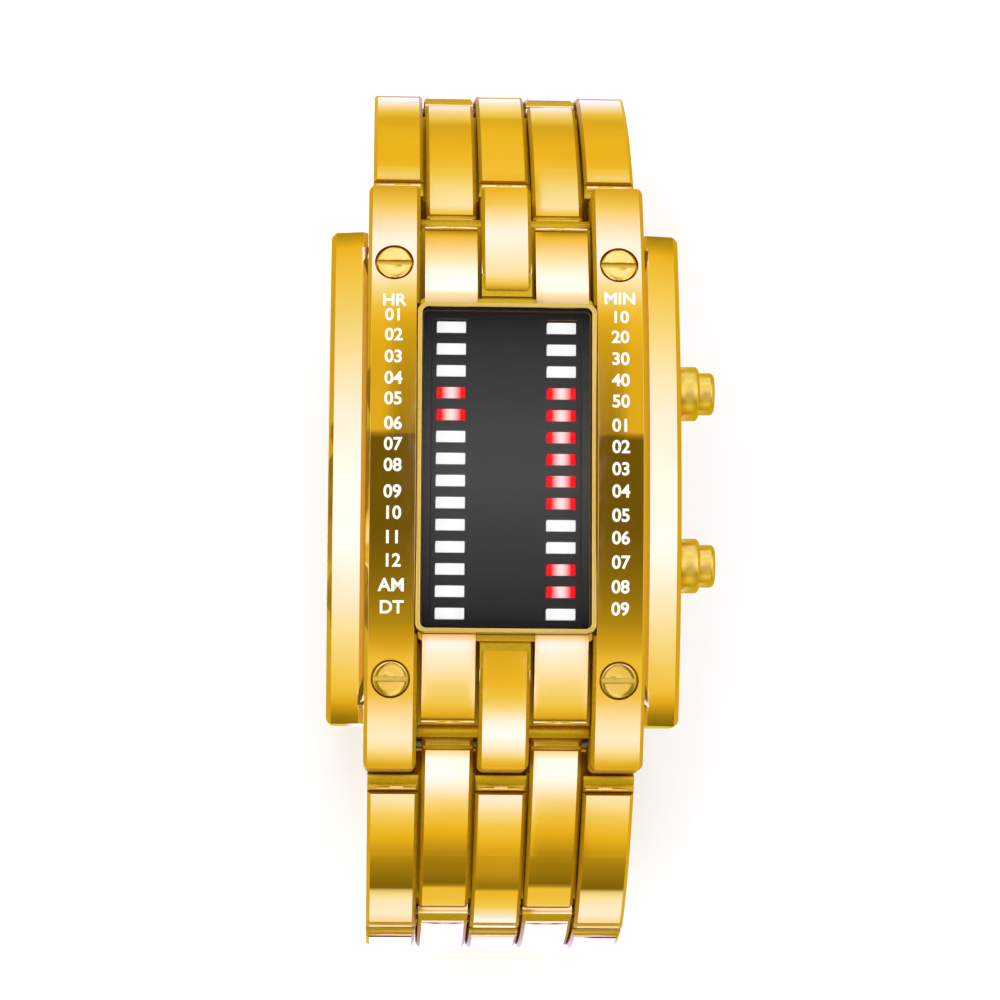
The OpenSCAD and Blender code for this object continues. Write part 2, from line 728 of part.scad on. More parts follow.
module upper_pusher() { color("gold") at_pusher(1) pusher(); }
module lower_pusher() { color("gold") at_pusher(-1) pusher(); }
module upper_pusher_clip() { color("silver") at_pusher(1) pusher_clip(); }
module lower_pusher_clip() { color("silver") at_pusher(-1) pusher_clip(); }
module upper_pusher_spring() { color("silver") at_pusher(1) pusher_spring(); }
module lower_pusher_spring() { color("silver") at_pusher(-1) pusher_spring(); }

// Bracelet. A link is drawn with its near pin at the origin and its far pin at Y = link_pitch,
// and its outer face up. The two inner columns reach to the near pin, the three others to the far one.
crown_mid = link_pitch / 2 + 0.15;
far_face = link_pitch + 0.45;   // where the outer columns' face ends
face_start = -0.6;              // where the inner columns' face begins, just before the near pin
near_hollow_r = lug_nose_r + knuckle_fit;
near_face = 3.75;               // where the outer columns' face begins
core_top = 0.9;
far_gap = knuckle_r + knuckle_fit + 0.25;
end_cut = link_pitch - 3.6;     // where the outer columns of an end link stop
end_block_w = cover_w - 2 * cover_wall - 0.4;

// Height of the crown above the pin line
function crown_at(u) = crown_height - crown_curve + sqrt(pow(crown_curve, 2) - pow(u - crown_mid, 2));

// Blank outline from u0 to u1, cut to the crown later
module blank_side(u0, u1) {
  translate([u0, -link_under]) square([u1 - u0, link_under + crown_height + overrun]);
}

// Inner column: rolled knuckle at the near pin, then a fine groove, then the crowned face
module inner_side(length) {
  difference() {
    union() {
      circle(r = knuckle_r);
      blank_side(0, length);
    }
    translate([face_start, crown_at(face_start)]) circle(r = 0.22);
    translate([link_pitch, 0]) circle(r = knuckle_r + knuckle_fit);
    translate([length, crown_at(length)]) rotate(45) square(0.5, center = true);
  }
}

// Outer column: a large and a small roll at the near end, then the face and the far knuckle
module outer_side(length) {
  large_r = 0.75;
  large_u = near_hollow_r + 0.1;
  large_v = 1.2;
  overlap = 0.1;
  small_r = 0.36;
  face_gap = 0.11;              // between the small roll and the face
  small_drop = 0.15;            // depth of the small roll below the face
  small_u = near_face - small_r - face_gap;
  small_v = crown_at(near_face) - small_r - small_drop;
  difference() {
    union() {
      blank_side(near_face, length);
      translate([near_hollow_r - 1, -link_under])
        square([near_face - near_hollow_r + 1 + overlap, link_under + large_v]);
      translate([large_u, large_v]) circle(r = large_r);
      translate([large_u, large_v - small_r]) square([small_u - large_u, 2 * small_r]);
      translate([small_u, small_v]) circle(r = small_r);
      if (length > link_pitch - knuckle_r) translate([link_pitch, 0]) circle(r = knuckle_r);
    }
    circle(r = near_hollow_r);
    translate([length, crown_at(length)]) rotate(45) square(0.5, center = true);
  }
}

// Web inside the link that carries all five columns
module core_side() {
  difference() {
    translate([0, -link_under]) square([link_pitch - far_gap, link_under + core_top]);
    circle(r = near_hollow_r);
    translate([link_pitch, 0]) circle(r = knuckle_r + knuckle_fit);
  }
}

// Crown that trims one column, bevels its edges and rounds the corners of its far end
module crowned_column(index, far_end) {
  column_run = far_end > link_pitch ? link_pitch + knuckle_r - far_end : 0;
  translate([index * column_pitch, 0, 0]) intersection() {
    translate([0, crown_mid, crown_height]) crowned_hoop(column_w, crown_curve, 7, edge_bevel);
    plan_trim(column_w, -2 * knuckle_r, far_end + column_run, column_corner_r);
    side_solid(column_w) children();
  }
}

module link() {
  difference() {
    union() {
      for (i = [-2, 0, 2]) crowned_column(i, far_face) outer_side(far_face);
      for (i = [-1, 1]) crowned_column(i, link_pitch - far_gap) inner_side(link_pitch - far_gap);
      side_solid(bracelet_w - 0.6) core_side();
    }
    x_rod(bore_d, bracelet_w + 2);
    translate([0, link_pitch, 0]) x_rod(bore_d, bracelet_w + 2);
  }
}

// Third link: the outer columns stop short, and a narrower block reaches into the clasp
module end_link() {
  block_top = 1.5;
  difference() {
    union() {
      for (i = [-2, 0, 2]) crowned_column(i, end_cut) outer_side(end_cut);
      for (i = [-1, 1]) crowned_column(i, end_cut) inner_side(end_cut);
      side_solid(bracelet_w - 0.6) difference() {
        translate([0, -link_under]) square([end_cut - 0.2, link_under + core_top]);
        circle(r = near_hollow_r);
      }
      side_solid(end_block_w) {
        translate([end_cut - 1, -link_under])
          square([link_pitch - end_cut + 1, link_under + block_top]);
        translate([link_pitch, 0]) circle(r = knuckle_r);
      }
    }
    x_rod(bore_d, bracelet_w + 2);
    translate([0, link_pitch, 0]) x_rod(bore_d, bracelet_w + 2);
  }
}

// End link at 12 o'clock: its two ears straddle the tube of the end blade
module forked_end_link() {
  slot_w = blade_w + 0.4;
  slot_depth = 2.3;             // room for the tube, which leaves straight up
  difference() {
    end_link();
    translate([0, link_pitch, 0]) rotate([slope_3, 0, 0])
      translate([-slot_w / 2, slot_depth - 20, -20]) cube([slot_w, 20, 40]);
  }
}

// Place of link n, counted from 0, on the 12 o'clock side
function pin_y(n) = lug_pin_y + link_pitch * (n == 0 ? 0 : sum_of([for (i = [0 : n - 1]) cos(slopes[i])]));
function pin_z(n) = lug_pin_z - link_pitch * (n == 0 ? 0 : sum_of([for (i = [0 : n - 1]) sin(slopes[i])]));
function sum_of(v) = [for (i = 0, s = v[0]; i < len(v); i = i + 1, s = s + (i < len(v) ? v[i] : 0)) s]
  [len(v) - 1];

module upper_place(n) {
  translate([0, pin_y(n), pin_z(n)]) rotate([-slopes[n], 0, 0]) children();
}

module lower_place(n) {
  mirror([0, 1, 0]) upper_place(n) children();
}

module link_pin() {
  translate([0, link_pitch, 0]) x_rod(pin_d, bracelet_w - 0.2);
}

module upper_link_1() { color("gold") upper_place(0) link(); }
module upper_link_2() { color("gold") upper_place(1) link(); }
module upper_link_3() { color("gold") upper_place(2) forked_end_link(); }
module upper_link_1_pin() { color("silver") upper_place(0) link_pin(); }
module upper_link_2_pin() { color("silver") upper_place(1) link_pin(); }
module lower_link_1() { color("gold") lower_place(0) link(); }
module lower_link_2() { color("gold") lower_place(1) link(); }
module lower_link_3() { color("gold") lower_place(2) end_link(); }
module lower_link_1_pin() { color("silver") lower_place(0) link_pin(); }
module lower_link_2_pin() { color("silver") lower_place(1) link_pin(); }

// Clasp. The 6 o'clock side is pinned in the cover, the 12 o'clock side to the end blade.
cover_tail = 1.5;               // past the pin of the 6 o'clock side
cover_short = 2.5;              // short of the pin of the 12 o'clock side
cover_y0 = -end_pin_y - cover_tail;
cover_y1 = end_pin_y - cover_short;
cover_nose_r = cover_h / 2;
cover_half_inside = cover_w / 2 - cover_wall;
cover_hinge_z = 2.4;            // hinge of the middle blade, near 12 o'clock
cover_hinge_r = 1.2;
blade_hinge_z = 2.9;            // hinge of the end blade, near 6 o'clock
blade_hinge_r = 1.7;
tube_r = 1.5;
blade_knuckle_w = 6;
blade_slot_w = 0.36 * blade_w;
blade_slot_len = 1.15 * blade_hinge_y;

module cover_side() {
  difference() {
    union() {
      translate([cover_y0, 0]) square([cover_y1 - cover_y0, cover_h]);
      translate([-end_pin_y, cover_nose_r]) circle(r = cover_nose_r);
    }
    translate([cover_y1, cover_h]) rotate(45) square(2, center = true);
  }
}

module clasp_cover() {
  edge = 0.5;
  color("gold") difference() {
    intersection() {
      side_solid(cover_w) cover_side();
      rotate([90, 0, 0]) linear_extrude(3 * end_pin_y, center = true) difference() {
        polygon([
          [-cover_w / 2 + edge, 0], [cover_w / 2 - edge, 0], [cover_w / 2, edge],
          [cover_w / 2, cover_h], [-cover_w / 2, cover_h], [-cover_w / 2, edge]
        ]);
        translate([-cover_half_inside, cover_t]) square([2 * cover_half_inside, cover_h]);
      }
    }
    for (i = [0 : 3]) translate([0, -end_pin_y + i * adjust_pitch, clasp_pin_z])
      x_rod(bore_d, cover_w + 2);
    translate([0, blade_hinge_y, cover_hinge_z]) x_rod(bore_d, cover_w + 2);
  }
}

module cover_spring_bar() {
  color("silver") translate([0, -end_pin_y, clasp_pin_z]) x_rod(pin_d, cover_w - 0.2);
}

module cover_hinge_pin() {
  color("silver") translate([0, blade_hinge_y, cover_hinge_z]) x_rod(pin_d, cover_w - 0.2);
}

module middle_blade() {
  plate_z = cover_hinge_z - cover_hinge_r + 0.05;
  color("silver") difference() {
    union() {
      translate([0, blade_hinge_y, cover_hinge_z]) x_rod(2 * cover_hinge_r, blade_w);
      translate([0, -blade_hinge_y, blade_hinge_z]) x_rod(2 * blade_hinge_r, blade_knuckle_w);
      translate([-blade_w / 2, -blade_hinge_y + blade_hinge_r + knuckle_fit, plate_z])
        cube([blade_w, 2 * blade_hinge_y - blade_hinge_r - knuckle_fit, blade_t]);
      translate([-blade_knuckle_w / 2, -blade_hinge_y, plate_z])
        cube([blade_knuckle_w, blade_hinge_y, blade_t]);
    }
    translate([0, blade_hinge_y, cover_hinge_z]) x_rod(bore_d, blade_w + 2);
    translate([0, -blade_hinge_y, blade_hinge_z]) x_rod(bore_d, blade_w + 2);
    translate([0, 1.5, plate_z + blade_t + overrun])
      rounded_plate(blade_slot_w, blade_slot_len, blade_t + 2 * overrun, blade_slot_w / 2 - 0.05);
  }
}

module blade_hinge_pin() {
  color("silver") translate([0, -blade_hinge_y, blade_hinge_z]) x_rod(pin_d, blade_w - 0.2);
}

module end_blade() {
  plate_z = blade_hinge_z + blade_hinge_r - blade_t - 0.05;
  knuckle_gap = 0.15;
  outer_w = (blade_w - blade_knuckle_w) / 2 - knuckle_gap;
  color("silver") difference() {
    union() {
      for (x = [-1, 1]) translate([x * (blade_w - outer_w) / 2, -blade_hinge_y, blade_hinge_z])
        x_rod(2 * blade_hinge_r, outer_w);
      translate([-blade_w / 2, -blade_hinge_y + blade_hinge_r + knuckle_fit, plate_z])
        cube([blade_w, blade_hinge_y + end_pin_y - blade_hinge_r - knuckle_fit, blade_t]);
      for (x = [-1, 1]) translate([x * (blade_w - outer_w) / 2 - outer_w / 2, -blade_hinge_y, plate_z])
        cube([outer_w, blade_hinge_y, blade_t]);
      translate([0, end_pin_y, clasp_pin_z]) x_rod(2 * tube_r, blade_w);
    }
    translate([0, -blade_hinge_y, blade_hinge_z]) x_rod(bore_d, blade_w + 2);
    translate([0, end_pin_y, clasp_pin_z]) x_rod(bore_d, blade_w + 2);
    for (y = [-4, 10]) translate([0, y, plate_z + blade_t + overrun])
      rounded_plate(blade_slot_w, blade_slot_len / 2, blade_t + 2 * overrun, blade_slot_w / 2 - 0.05);
  }
}

module end_spring_bar() {
  color("silver") translate([0, end_pin_y, clasp_pin_z]) x_rod(pin_d, blade_w + 0.2);
}

case_body();
hour_rail();
minute_rail();
rail_screws();
case_link_pins();
display_frame();
display_lens();
lens_gasket();
light_mask();
hour_lights();
minute_lights();
circuit_board();
module_holder();
coin_cell();
cell_clip();
switch_contacts();
case_back();
case_back_gasket();
case_back_screws();
pusher_tubes();
pusher_seals();
upper_pusher();
upper_pusher_clip();
upper_pusher_spring();
lower_pusher();
lower_pusher_clip();
lower_pusher_spring();
upper_link_1();
upper_link_1_pin();
upper_link_2();
upper_link_2_pin();
upper_link_3();
lower_link_1();
lower_link_1_pin();
lower_link_2();
lower_link_2_pin();
lower_link_3();
clasp_cover();
cover_spring_bar();
cover_hinge_pin();
middle_blade();
blade_hinge_pin();
end_blade();
end_spring_bar();
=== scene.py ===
import json
import math

import bmesh
import bpy
from mathutils import Matrix, Quaternion, Vector

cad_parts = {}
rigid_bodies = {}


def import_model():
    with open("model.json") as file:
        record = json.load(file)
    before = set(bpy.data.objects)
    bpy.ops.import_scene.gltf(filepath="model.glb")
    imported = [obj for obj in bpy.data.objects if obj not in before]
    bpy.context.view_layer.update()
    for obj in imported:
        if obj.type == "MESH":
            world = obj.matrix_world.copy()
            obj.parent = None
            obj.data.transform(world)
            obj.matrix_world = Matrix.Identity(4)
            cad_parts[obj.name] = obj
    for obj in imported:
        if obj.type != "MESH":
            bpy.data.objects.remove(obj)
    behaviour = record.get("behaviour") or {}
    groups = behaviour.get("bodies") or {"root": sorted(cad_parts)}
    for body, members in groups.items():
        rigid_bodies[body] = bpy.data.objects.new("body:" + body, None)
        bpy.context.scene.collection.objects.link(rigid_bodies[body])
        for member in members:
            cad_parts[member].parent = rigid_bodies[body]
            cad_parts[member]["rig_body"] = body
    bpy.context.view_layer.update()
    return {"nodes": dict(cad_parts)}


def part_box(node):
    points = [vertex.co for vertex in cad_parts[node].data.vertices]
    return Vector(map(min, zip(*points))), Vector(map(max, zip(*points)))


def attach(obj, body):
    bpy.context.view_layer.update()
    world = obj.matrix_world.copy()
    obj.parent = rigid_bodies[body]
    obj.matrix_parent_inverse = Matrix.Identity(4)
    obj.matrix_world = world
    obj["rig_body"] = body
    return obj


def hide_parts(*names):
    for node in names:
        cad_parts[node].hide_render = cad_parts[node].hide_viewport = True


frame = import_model()
nodes = frame["nodes"]
MM = 0.001

# Heights and places that part.scad gives, in millimetres
LENS_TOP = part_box("display_lens")[1].z / MM
RAIL_RISE = 0.9
RAIL_CURVE = 61.0
RAIL_MID = 9.425
BAR_X = 4.6
BAR_PITCH = 1.85
BAR_SIZE = (2.4, 0.9, 1.8)
BAR_DEPTH = 1.55                # from the top of the lens down to the bars
MASK_END = 13.3
WING_DROP = 1.9
SHOULDER_CURVE = 50.0
SHOULDER_Y0 = 13.85
SHOULDER_DROP = 0.75
COLUMN_W = 4.3
COLUMN_PITCH = 4.55
CROWN_HEIGHT = 2.9
CROWN_CURVE = 36.0
CROWN_MID = 9.9
LINK_PINS = [(22.2, 48.8496), (35.7458, 34.8225), (36.4264, 15.3344)]
LINK_SLOPES = [46, 88, 140]

# Where the finishes of the case change, in millimetres from the middle of the watch
GROOVES_X = 11                  # the grooves beside the columns and the rails end here
CHAMFER_X = (11.6, 12.1)        # inner chamfer of the wings
SHOULDERS_X = 7.3
CENTRE_LUG_X = 2.4
DISPLAY_Y = 13.5
CENTRE_LUG_Y = 17
CHAMFER_Y = 16                  # the chamfer of the wings is satin on every side from here on

STEEL_SHINE = 0.25              # low, so that steel stays grey in the warm room that gold mirrors


# ---------------------------------------------------------------- small helpers for materials
def new_material(name):
    material = bpy.data.materials.new(name)
    material.use_nodes = True
    tree = material.node_tree
    tree.nodes.clear()
    output = tree.nodes.new("ShaderNodeOutputMaterial")
    shader = tree.nodes.new("ShaderNodeBsdfPrincipled")
    tree.links.new(shader.outputs["BSDF"], output.inputs["Surface"])
    return material, tree, shader


def calm_gloss(shader, level=0.5):
    """Gloss of lacquer, plastic and glass, a little warmer than the cool soft boxes."""
    shader.inputs["Specular IOR Level"].default_value = level
    shader.inputs["Specular Tint"].default_value = (1, 0.85, 0.3, 1)


def dress(mesh, *finishes):
    mesh.materials.clear()
    for finish in finishes:
        mesh.materials.append(finish)


def axes_of(tree, place="Object"):
    """X, Y and Z of the shaded place, or with place Generated of a direction in the world."""
    source = tree.nodes.new("ShaderNodeTexCoord")
    axes = tree.nodes.new("ShaderNodeSeparateXYZ")
    tree.links.new(source.outputs[place], axes.inputs["Vector"])
    return axes.outputs


def sum_up(tree, operation, first, second=0.0):
    """A sum on two values, each a number or an output."""
    node = tree.nodes.new("ShaderNodeMath")
    node.operation = operation
    for value, socket in ((first, node.inputs[0]), (second, node.inputs[1])):
        if isinstance(value, float):
            socket.default_value = value
        else:
            tree.links.new(value, socket)
    return node.outputs[0]


def object_place(tree, scale=(1, 1, 1)):
    place = tree.nodes.new("ShaderNodeTexCoord")
    mapping = tree.nodes.new("ShaderNodeMapping")
    mapping.inputs["Scale"].default_value = scale
    tree.links.new(place.outputs["Object"], mapping.inputs["Vector"])
    return mapping.outputs["Vector"]


def noise(tree, vector, scale, detail=3.0, roughness=0.5):
    node = tree.nodes.new("ShaderNodeTexNoise")
    node.inputs["Scale"].default_value = scale
    node.inputs["Detail"].default_value = detail
    node.inputs["Roughness"].default_value = roughness
    tree.links.new(vector, node.inputs["Vector"])
    return node.outputs["Fac"]


def spread(tree, value, low, high, start=0.3, end=0.7):
    node = tree.nodes.new("ShaderNodeMapRange")
    node.inputs["From Min"].default_value = start
    node.inputs["From Max"].default_value = end
    node.inputs["To Min"].default_value = low
    node.inputs["To Max"].default_value = high
    tree.links.new(value, node.inputs["Value"])
    return node.outputs["Result"]


def fade(tree, value, start, end):
    """0 up to start and 1 from end on."""
    return spread(tree, value, 0, 1, start, end)


def two_colours(tree, value, first, second, start=0.35, end=0.65):
    ramp = tree.nodes.new("ShaderNodeValToRGB")
    ramp.color_ramp.elements[0].position = start
    ramp.color_ramp.elements[0].color = (*first, 1)
    ramp.color_ramp.elements[1].position = end
    ramp.color_ramp.elements[1].color = (*second, 1)
    tree.links.new(value, ramp.inputs["Fac"])
    return ramp.outputs["Color"]


def bump(tree, shader, height, distance, strength=1.0):
    node = tree.nodes.new("ShaderNodeBump")
    node.inputs["Strength"].default_value = strength
    node.inputs["Distance"].default_value = distance
    tree.links.new(height, node.inputs["Height"])
    tree.links.new(node.outputs["Normal"], shader.inputs["Normal"])


# ---------------------------------------------------------------- finishes
def polished_gold(name, deep, pale, gloss):
    """Gold plate with faint polishing marks and slow changes of tone."""
    material, tree, shader = new_material(name)
    place = object_place(tree)
    cloud = noise(tree, place, 130, 4)
    tree.links.new(two_colours(tree, cloud, deep, pale), shader.inputs["Base Color"])
    shader.inputs["Metallic"].default_value = 1.0
    haze = noise(tree, object_place(tree, (1, 0.18, 1)), 2600, 5, 0.6)
    tree.links.new(spread(tree, haze, gloss, gloss + 0.02), shader.inputs["Roughness"])
    bump(tree, shader, haze, 0.0000002)
    return material


def brushed_metal(name, dark, light, along="y", rough=0.26):
    stretch = {"x": (0.02, 1, 1), "y": (1, 0.02, 1), "z": (1, 1, 0.02)}[along]
    material, tree, shader = new_material(name)
    lines = noise(tree, object_place(tree, stretch), 9000, 6, 0.65)
    tree.links.new(two_colours(tree, lines, dark, light), shader.inputs["Base Color"])
    shader.inputs["Metallic"].default_value = STEEL_SHINE
    calm_gloss(shader)
    tree.links.new(spread(tree, lines, rough - 0.05, rough + 0.1), shader.inputs["Roughness"])
    bump(tree, shader, lines, 0.000004)
    return material


def matte(name, dark, light, rough, scale=2500, depth=0.000005, metallic=0.0):
    material, tree, shader = new_material(name)
    grain = noise(tree, object_place(tree), scale, 5, 0.6)
    tree.links.new(two_colours(tree, grain, dark, light), shader.inputs["Base Color"])
    shader.inputs["Metallic"].default_value = metallic
    tree.links.new(spread(tree, grain, rough - 0.06, rough + 0.08), shader.inputs["Roughness"])
    bump(tree, shader, grain, depth)
    if metallic < 1:
        calm_gloss(shader)
    return material


gold = polished_gold("polished_gold", (0.88, 0.51, 0.115), (0.92, 0.535, 0.135), 0.01)
frame_gold = polished_gold("frame_gold", (0.68, 0.43, 0.04), (0.74, 0.47, 0.05), 0.18)
head_gold = polished_gold("screw_gold", (0.8, 0.47, 0.05), (0.86, 0.51, 0.06), 0.09)
button_gold = polished_gold("satin_button_gold", (0.8, 0.5, 0.045), (0.86, 0.54, 0.06), 0.27)
# satin gold for faces in gaps and off the crowns: the satin finish is real, its darker colour is
# painted shade
gap_gold_painted_shade = matte("satin_gold_painted_gap_shade", (0.62, 0.36, 0.008), (0.74, 0.44, 0.014), 0.5, 3500, 0.000004,
                 1.0)
side_gold = matte("satin_side_gold", (0.95, 0.6, 0.07), (1.0, 0.66, 0.1), 0.45, 3500, 0.000002)
slot_gold = matte("milled_slot_gold", (0.86, 0.6, 0.06), (0.95, 0.68, 0.09), 0.5, 6000, 0.000006,
                  1.0)
pin_steel = matte("oiled_pin_steel", (0.16, 0.13, 0.06), (0.24, 0.2, 0.1), 0.32, 4000, 0.000002,
                  1.0)
steel_bright = matte("turned_steel", (0.36, 0.36, 0.38), (0.46, 0.46, 0.49), 0.2, 4000, 0.000002,
                     STEEL_SHINE)
steel_brushed = brushed_metal("brushed_blade_steel", (0.32, 0.32, 0.34), (0.48, 0.48, 0.51))
back_steel = brushed_metal("brushed_back_steel", (0.34, 0.34, 0.36), (0.48, 0.48, 0.51), "x", 0.3)
cell_steel = matte("nickel_cell", (0.5, 0.5, 0.48), (0.6, 0.6, 0.58), 0.3, 1500, 0.000003,
                   STEEL_SHINE)
rubber = matte("black_rubber", (0.012, 0.012, 0.012), (0.03, 0.03, 0.03), 0.75, 3000, 0.00001)
holder_plastic = matte("ivory_plastic", (0.62, 0.58, 0.46), (0.7, 0.66, 0.55), 0.5, 1800, 0.000006)


def mask_with_painted_reflection():
    """Smoked mask with fine moulding grain, dark at the ends; its paler middle is a painted
    reflection of the glossy window.
    """
    material, tree, shader = new_material("smoked_mask_painted_reflection")
    along = fade(tree, axes_of(tree)["Y"], -MASK_END * MM, MASK_END * MM)
    # paler towards the middle: a painted reflection of the glossy window over the mask's own smoked
    # tone
    ramp = tree.nodes.new("ShaderNodeValToRGB")
    reflection_tones = [(0.0, 0.012), (0.08, 0.055), (0.3, 0.12), (0.47, 0.175), (0.62, 0.16), (0.8, 0.1),
             (0.93, 0.055), (1.0, 0.01)]
    for place, tone in reflection_tones[1:-1]:
        ramp.color_ramp.elements.new(place)
    for element, (place, tone) in zip(ramp.color_ramp.elements, reflection_tones):
        element.position = place
        element.color = (tone, tone, tone * 1.01, 1)
    tree.links.new(along, ramp.inputs["Fac"])
    tree.links.new(ramp.outputs["Color"], shader.inputs["Base Color"])
    grain = noise(tree, object_place(tree), 5000, 3)
    tree.links.new(spread(tree, grain, 0.55, 0.75), shader.inputs["Roughness"])
    calm_gloss(shader, 0.1)
    bump(tree, shader, grain, 0.000002)
    return material


def smoked_lens():
    material, tree, shader = new_material("smoked_lens")
    smear = noise(tree, object_place(tree), 160, 3)
    shader.inputs["Base Color"].default_value = (0.02, 0.02, 0.022, 1)
    shader.inputs["Alpha"].default_value = 0.3
    shader.inputs["IOR"].default_value = 1.5
    tree.links.new(spread(tree, smear, 0.02, 0.06), shader.inputs["Roughness"])
    calm_gloss(shader, 0.05)
    return material


def glowing_resin(name, middle, rim, strength):
    """Glowing bar, bright in the middle and coloured towards the ends. The red bars are lit; the
    glow of the unlit white bars is painted light.
    """
    material, tree, shader = new_material(name)
    side = sum_up(tree, "ABSOLUTE", axes_of(tree)["X"])
    away = sum_up(tree, "ABSOLUTE", sum_up(tree, "SUBTRACT", side, BAR_X * MM))
    share = fade(tree, away, 0, BAR_SIZE[0] / 2 * MM)
    colour = two_colours(tree, share, middle, rim, 0.12, 0.68)
    tree.links.new(colour, shader.inputs["Base Color"])
    tree.links.new(colour, shader.inputs["Emission Color"])
    shader.inputs["Emission Strength"].default_value = strength
    shader.inputs["Roughness"].default_value = 0.3
    calm_gloss(shader, 0.1)
    return material


mask_painted_reflection_finish = mask_with_painted_reflection()
lens_finish = smoked_lens()
# the white bars are unlit segments, and their glow is painted light
white_bars_painted_glow = glowing_resin("unlit_white_resin_painted_glow", (1, 1, 1), (0.93, 0.93, 0.95), 1.5)
red_light = glowing_resin("red_lit_resin", (1, 0.75, 0.75), (0.95, 0.0, 0.005), 1.5)


def board_green():
    material, tree, shader = new_material("board_lacquer")
    place = object_place(tree)
    cells = tree.nodes.new("ShaderNodeTexBrick")
    cells.inputs["Scale"].default_value = 700
    cells.inputs["Color1"].default_value = (0.01, 0.12, 0.04, 1)
    cells.inputs["Color2"].default_value = (0.012, 0.15, 0.05, 1)
    cells.inputs["Mortar"].default_value = (0.4, 0.25, 0.06, 1)
    cells.inputs["Mortar Size"].default_value = 0.03
    tree.links.new(place, cells.inputs["Vector"])
    tree.links.new(cells.outputs["Color"], shader.inputs["Base Color"])
    haze = noise(tree, place, 1500)
    tree.links.new(spread(tree, haze, 0.25, 0.4), shader.inputs["Roughness"])
    calm_gloss(shader)
    return material


board_finish = board_green()

FINISHES = {
    frame_gold: ["display_frame"],
    gold: ["case_body", "hour_rail", "minute_rail", "rail_screws", "clasp_cover",
           "upper_link_1", "upper_link_2", "upper_link_3",
           "lower_link_1", "lower_link_2", "lower_link_3"],
    button_gold: ["upper_pusher", "lower_pusher", "pusher_tubes"],
    pin_steel: ["case_link_pins", "upper_link_1_pin", "upper_link_2_pin", "lower_link_1_pin",
                "lower_link_2_pin", "cover_spring_bar", "cover_hinge_pin"],
    steel_bright: ["blade_hinge_pin", "end_spring_bar", "case_back_screws", "upper_pusher_clip",
                   "lower_pusher_clip", "upper_pusher_spring", "lower_pusher_spring", "cell_clip",
                   "switch_contacts"],
    steel_brushed: ["middle_blade", "end_blade"],
    back_steel: ["case_back"],
    cell_steel: ["coin_cell"],
    rubber: ["case_back_gasket", "pusher_seals"],
    holder_plastic: ["module_holder"],
    mask_painted_reflection_finish: ["light_mask", "lens_gasket"],
    lens_finish: ["display_lens"],
    board_finish: ["circuit_board"],
    white_bars_painted_glow: ["hour_lights", "minute_lights"],
}
for finish, names in FINISHES.items():
    for name in names:
        dress(nodes[name].data, finish)


# ---------------------------------------------------------------- pieces
# the satin place takes the darker gap gold, whose darker colour is painted shade
POLISHED, SATIN_PAINTED_SHADE, CHAMFER = 0, 1, 2      # places of a polished piece's finishes
SIDEWAYS = 0.5                  # faces whose direction has this much of X look sideways
UPRIGHT = 0.9                   # and these are upright sides
LEVEL = 0.15                    # faces with less of X are level across
ON_CROWN = 0.9985               # cosine between the direction of a face and that of its crown
BESIDE_CROWN = 0.995            # and of a corner that takes over the direction of the crown


def only(*pieces):
    """Selects these pieces and nothing else, the first of them as the active one."""
    bpy.ops.object.select_all(action="DESELECT")
    bpy.context.view_layer.objects.active = pieces[0]
    for piece in pieces:
        piece.select_set(True)


def round_edges(piece, width, edge_angle):
    """Rounds the edges sharper than an angle, by a width in millimetres."""
    edges = piece.modifiers.new("edges", "BEVEL")
    edges.width = width * MM
    edges.segments = 2
    edges.limit_method = "ANGLE"
    edges.angle_limit = math.radians(edge_angle)
    bpy.ops.object.modifier_apply(modifier="edges")


def crown_axes(name):
    """Axes of the long curves of a piece, as (Y, Z, radius) in millimetres."""
    top = LENS_TOP - RAIL_CURVE
    if name.endswith("_rail"):
        return [(0, top + RAIL_RISE, RAIL_CURVE)]
    if name == "case_body":
        crest = (SHOULDER_CURVE ** 2 - SHOULDER_Y0 ** 2) ** 0.5
        return [(0, top + RAIL_RISE, RAIL_CURVE), (0, top - WING_DROP, RAIL_CURVE),
                (0, LENS_TOP - SHOULDER_DROP - crest, SHOULDER_CURVE)]
    if "_link_" in name:
        number = int(name[-1]) - 1
        (y, z), slope = LINK_PINS[number], math.radians(LINK_SLOPES[number])
        high = CROWN_HEIGHT - CROWN_CURVE
        y += CROWN_MID * math.cos(slope) + high * math.sin(slope)
        z += high * math.cos(slope) - CROWN_MID * math.sin(slope)
        return [(y if name.startswith("upper") else -y, z, CROWN_CURVE)]
    return []


def true_curves(piece, axes):
    """Gives the long curved faces the exact direction of their curve at every corner.

    Only the wings slope sideways. Every other crown is level across, whatever its facets do."""
    mesh = piece.data
    directions = [Vector(corner.vector) for corner in mesh.corner_normals]
    exact = {}
    for face in mesh.polygons:
        flat = math.hypot(face.normal.y, face.normal.z)
        for y, z, radius in axes:
            out = Vector((0, face.center.y - y * MM, face.center.z - z * MM))
            reach = out.length / MM
            if not radius - 1 < reach < radius + 0.05 or flat < 0.3:
                continue
            if (out.y * face.normal.y + out.z * face.normal.z) / (out.length * flat) < ON_CROWN:
                continue
            level = abs(face.normal.x) < LEVEL
            for corner in face.loop_indices:
                point = mesh.vertices[mesh.loops[corner].vertex_index].co
                away = Vector((0, point.y - y * MM, point.z - z * MM)).normalized()
                if not level:
                    away = away * flat + Vector((face.normal.x, 0, 0))
                directions[corner] = away
                exact.setdefault(mesh.loops[corner].vertex_index, []).append(directions[corner])
            break
    for corner, loop in enumerate(mesh.loops):
        for direction in exact.get(loop.vertex_index, []):
            if directions[corner].dot(direction) > BESIDE_CROWN:
                directions[corner] = direction
    mesh.normals_split_custom_set(directions)


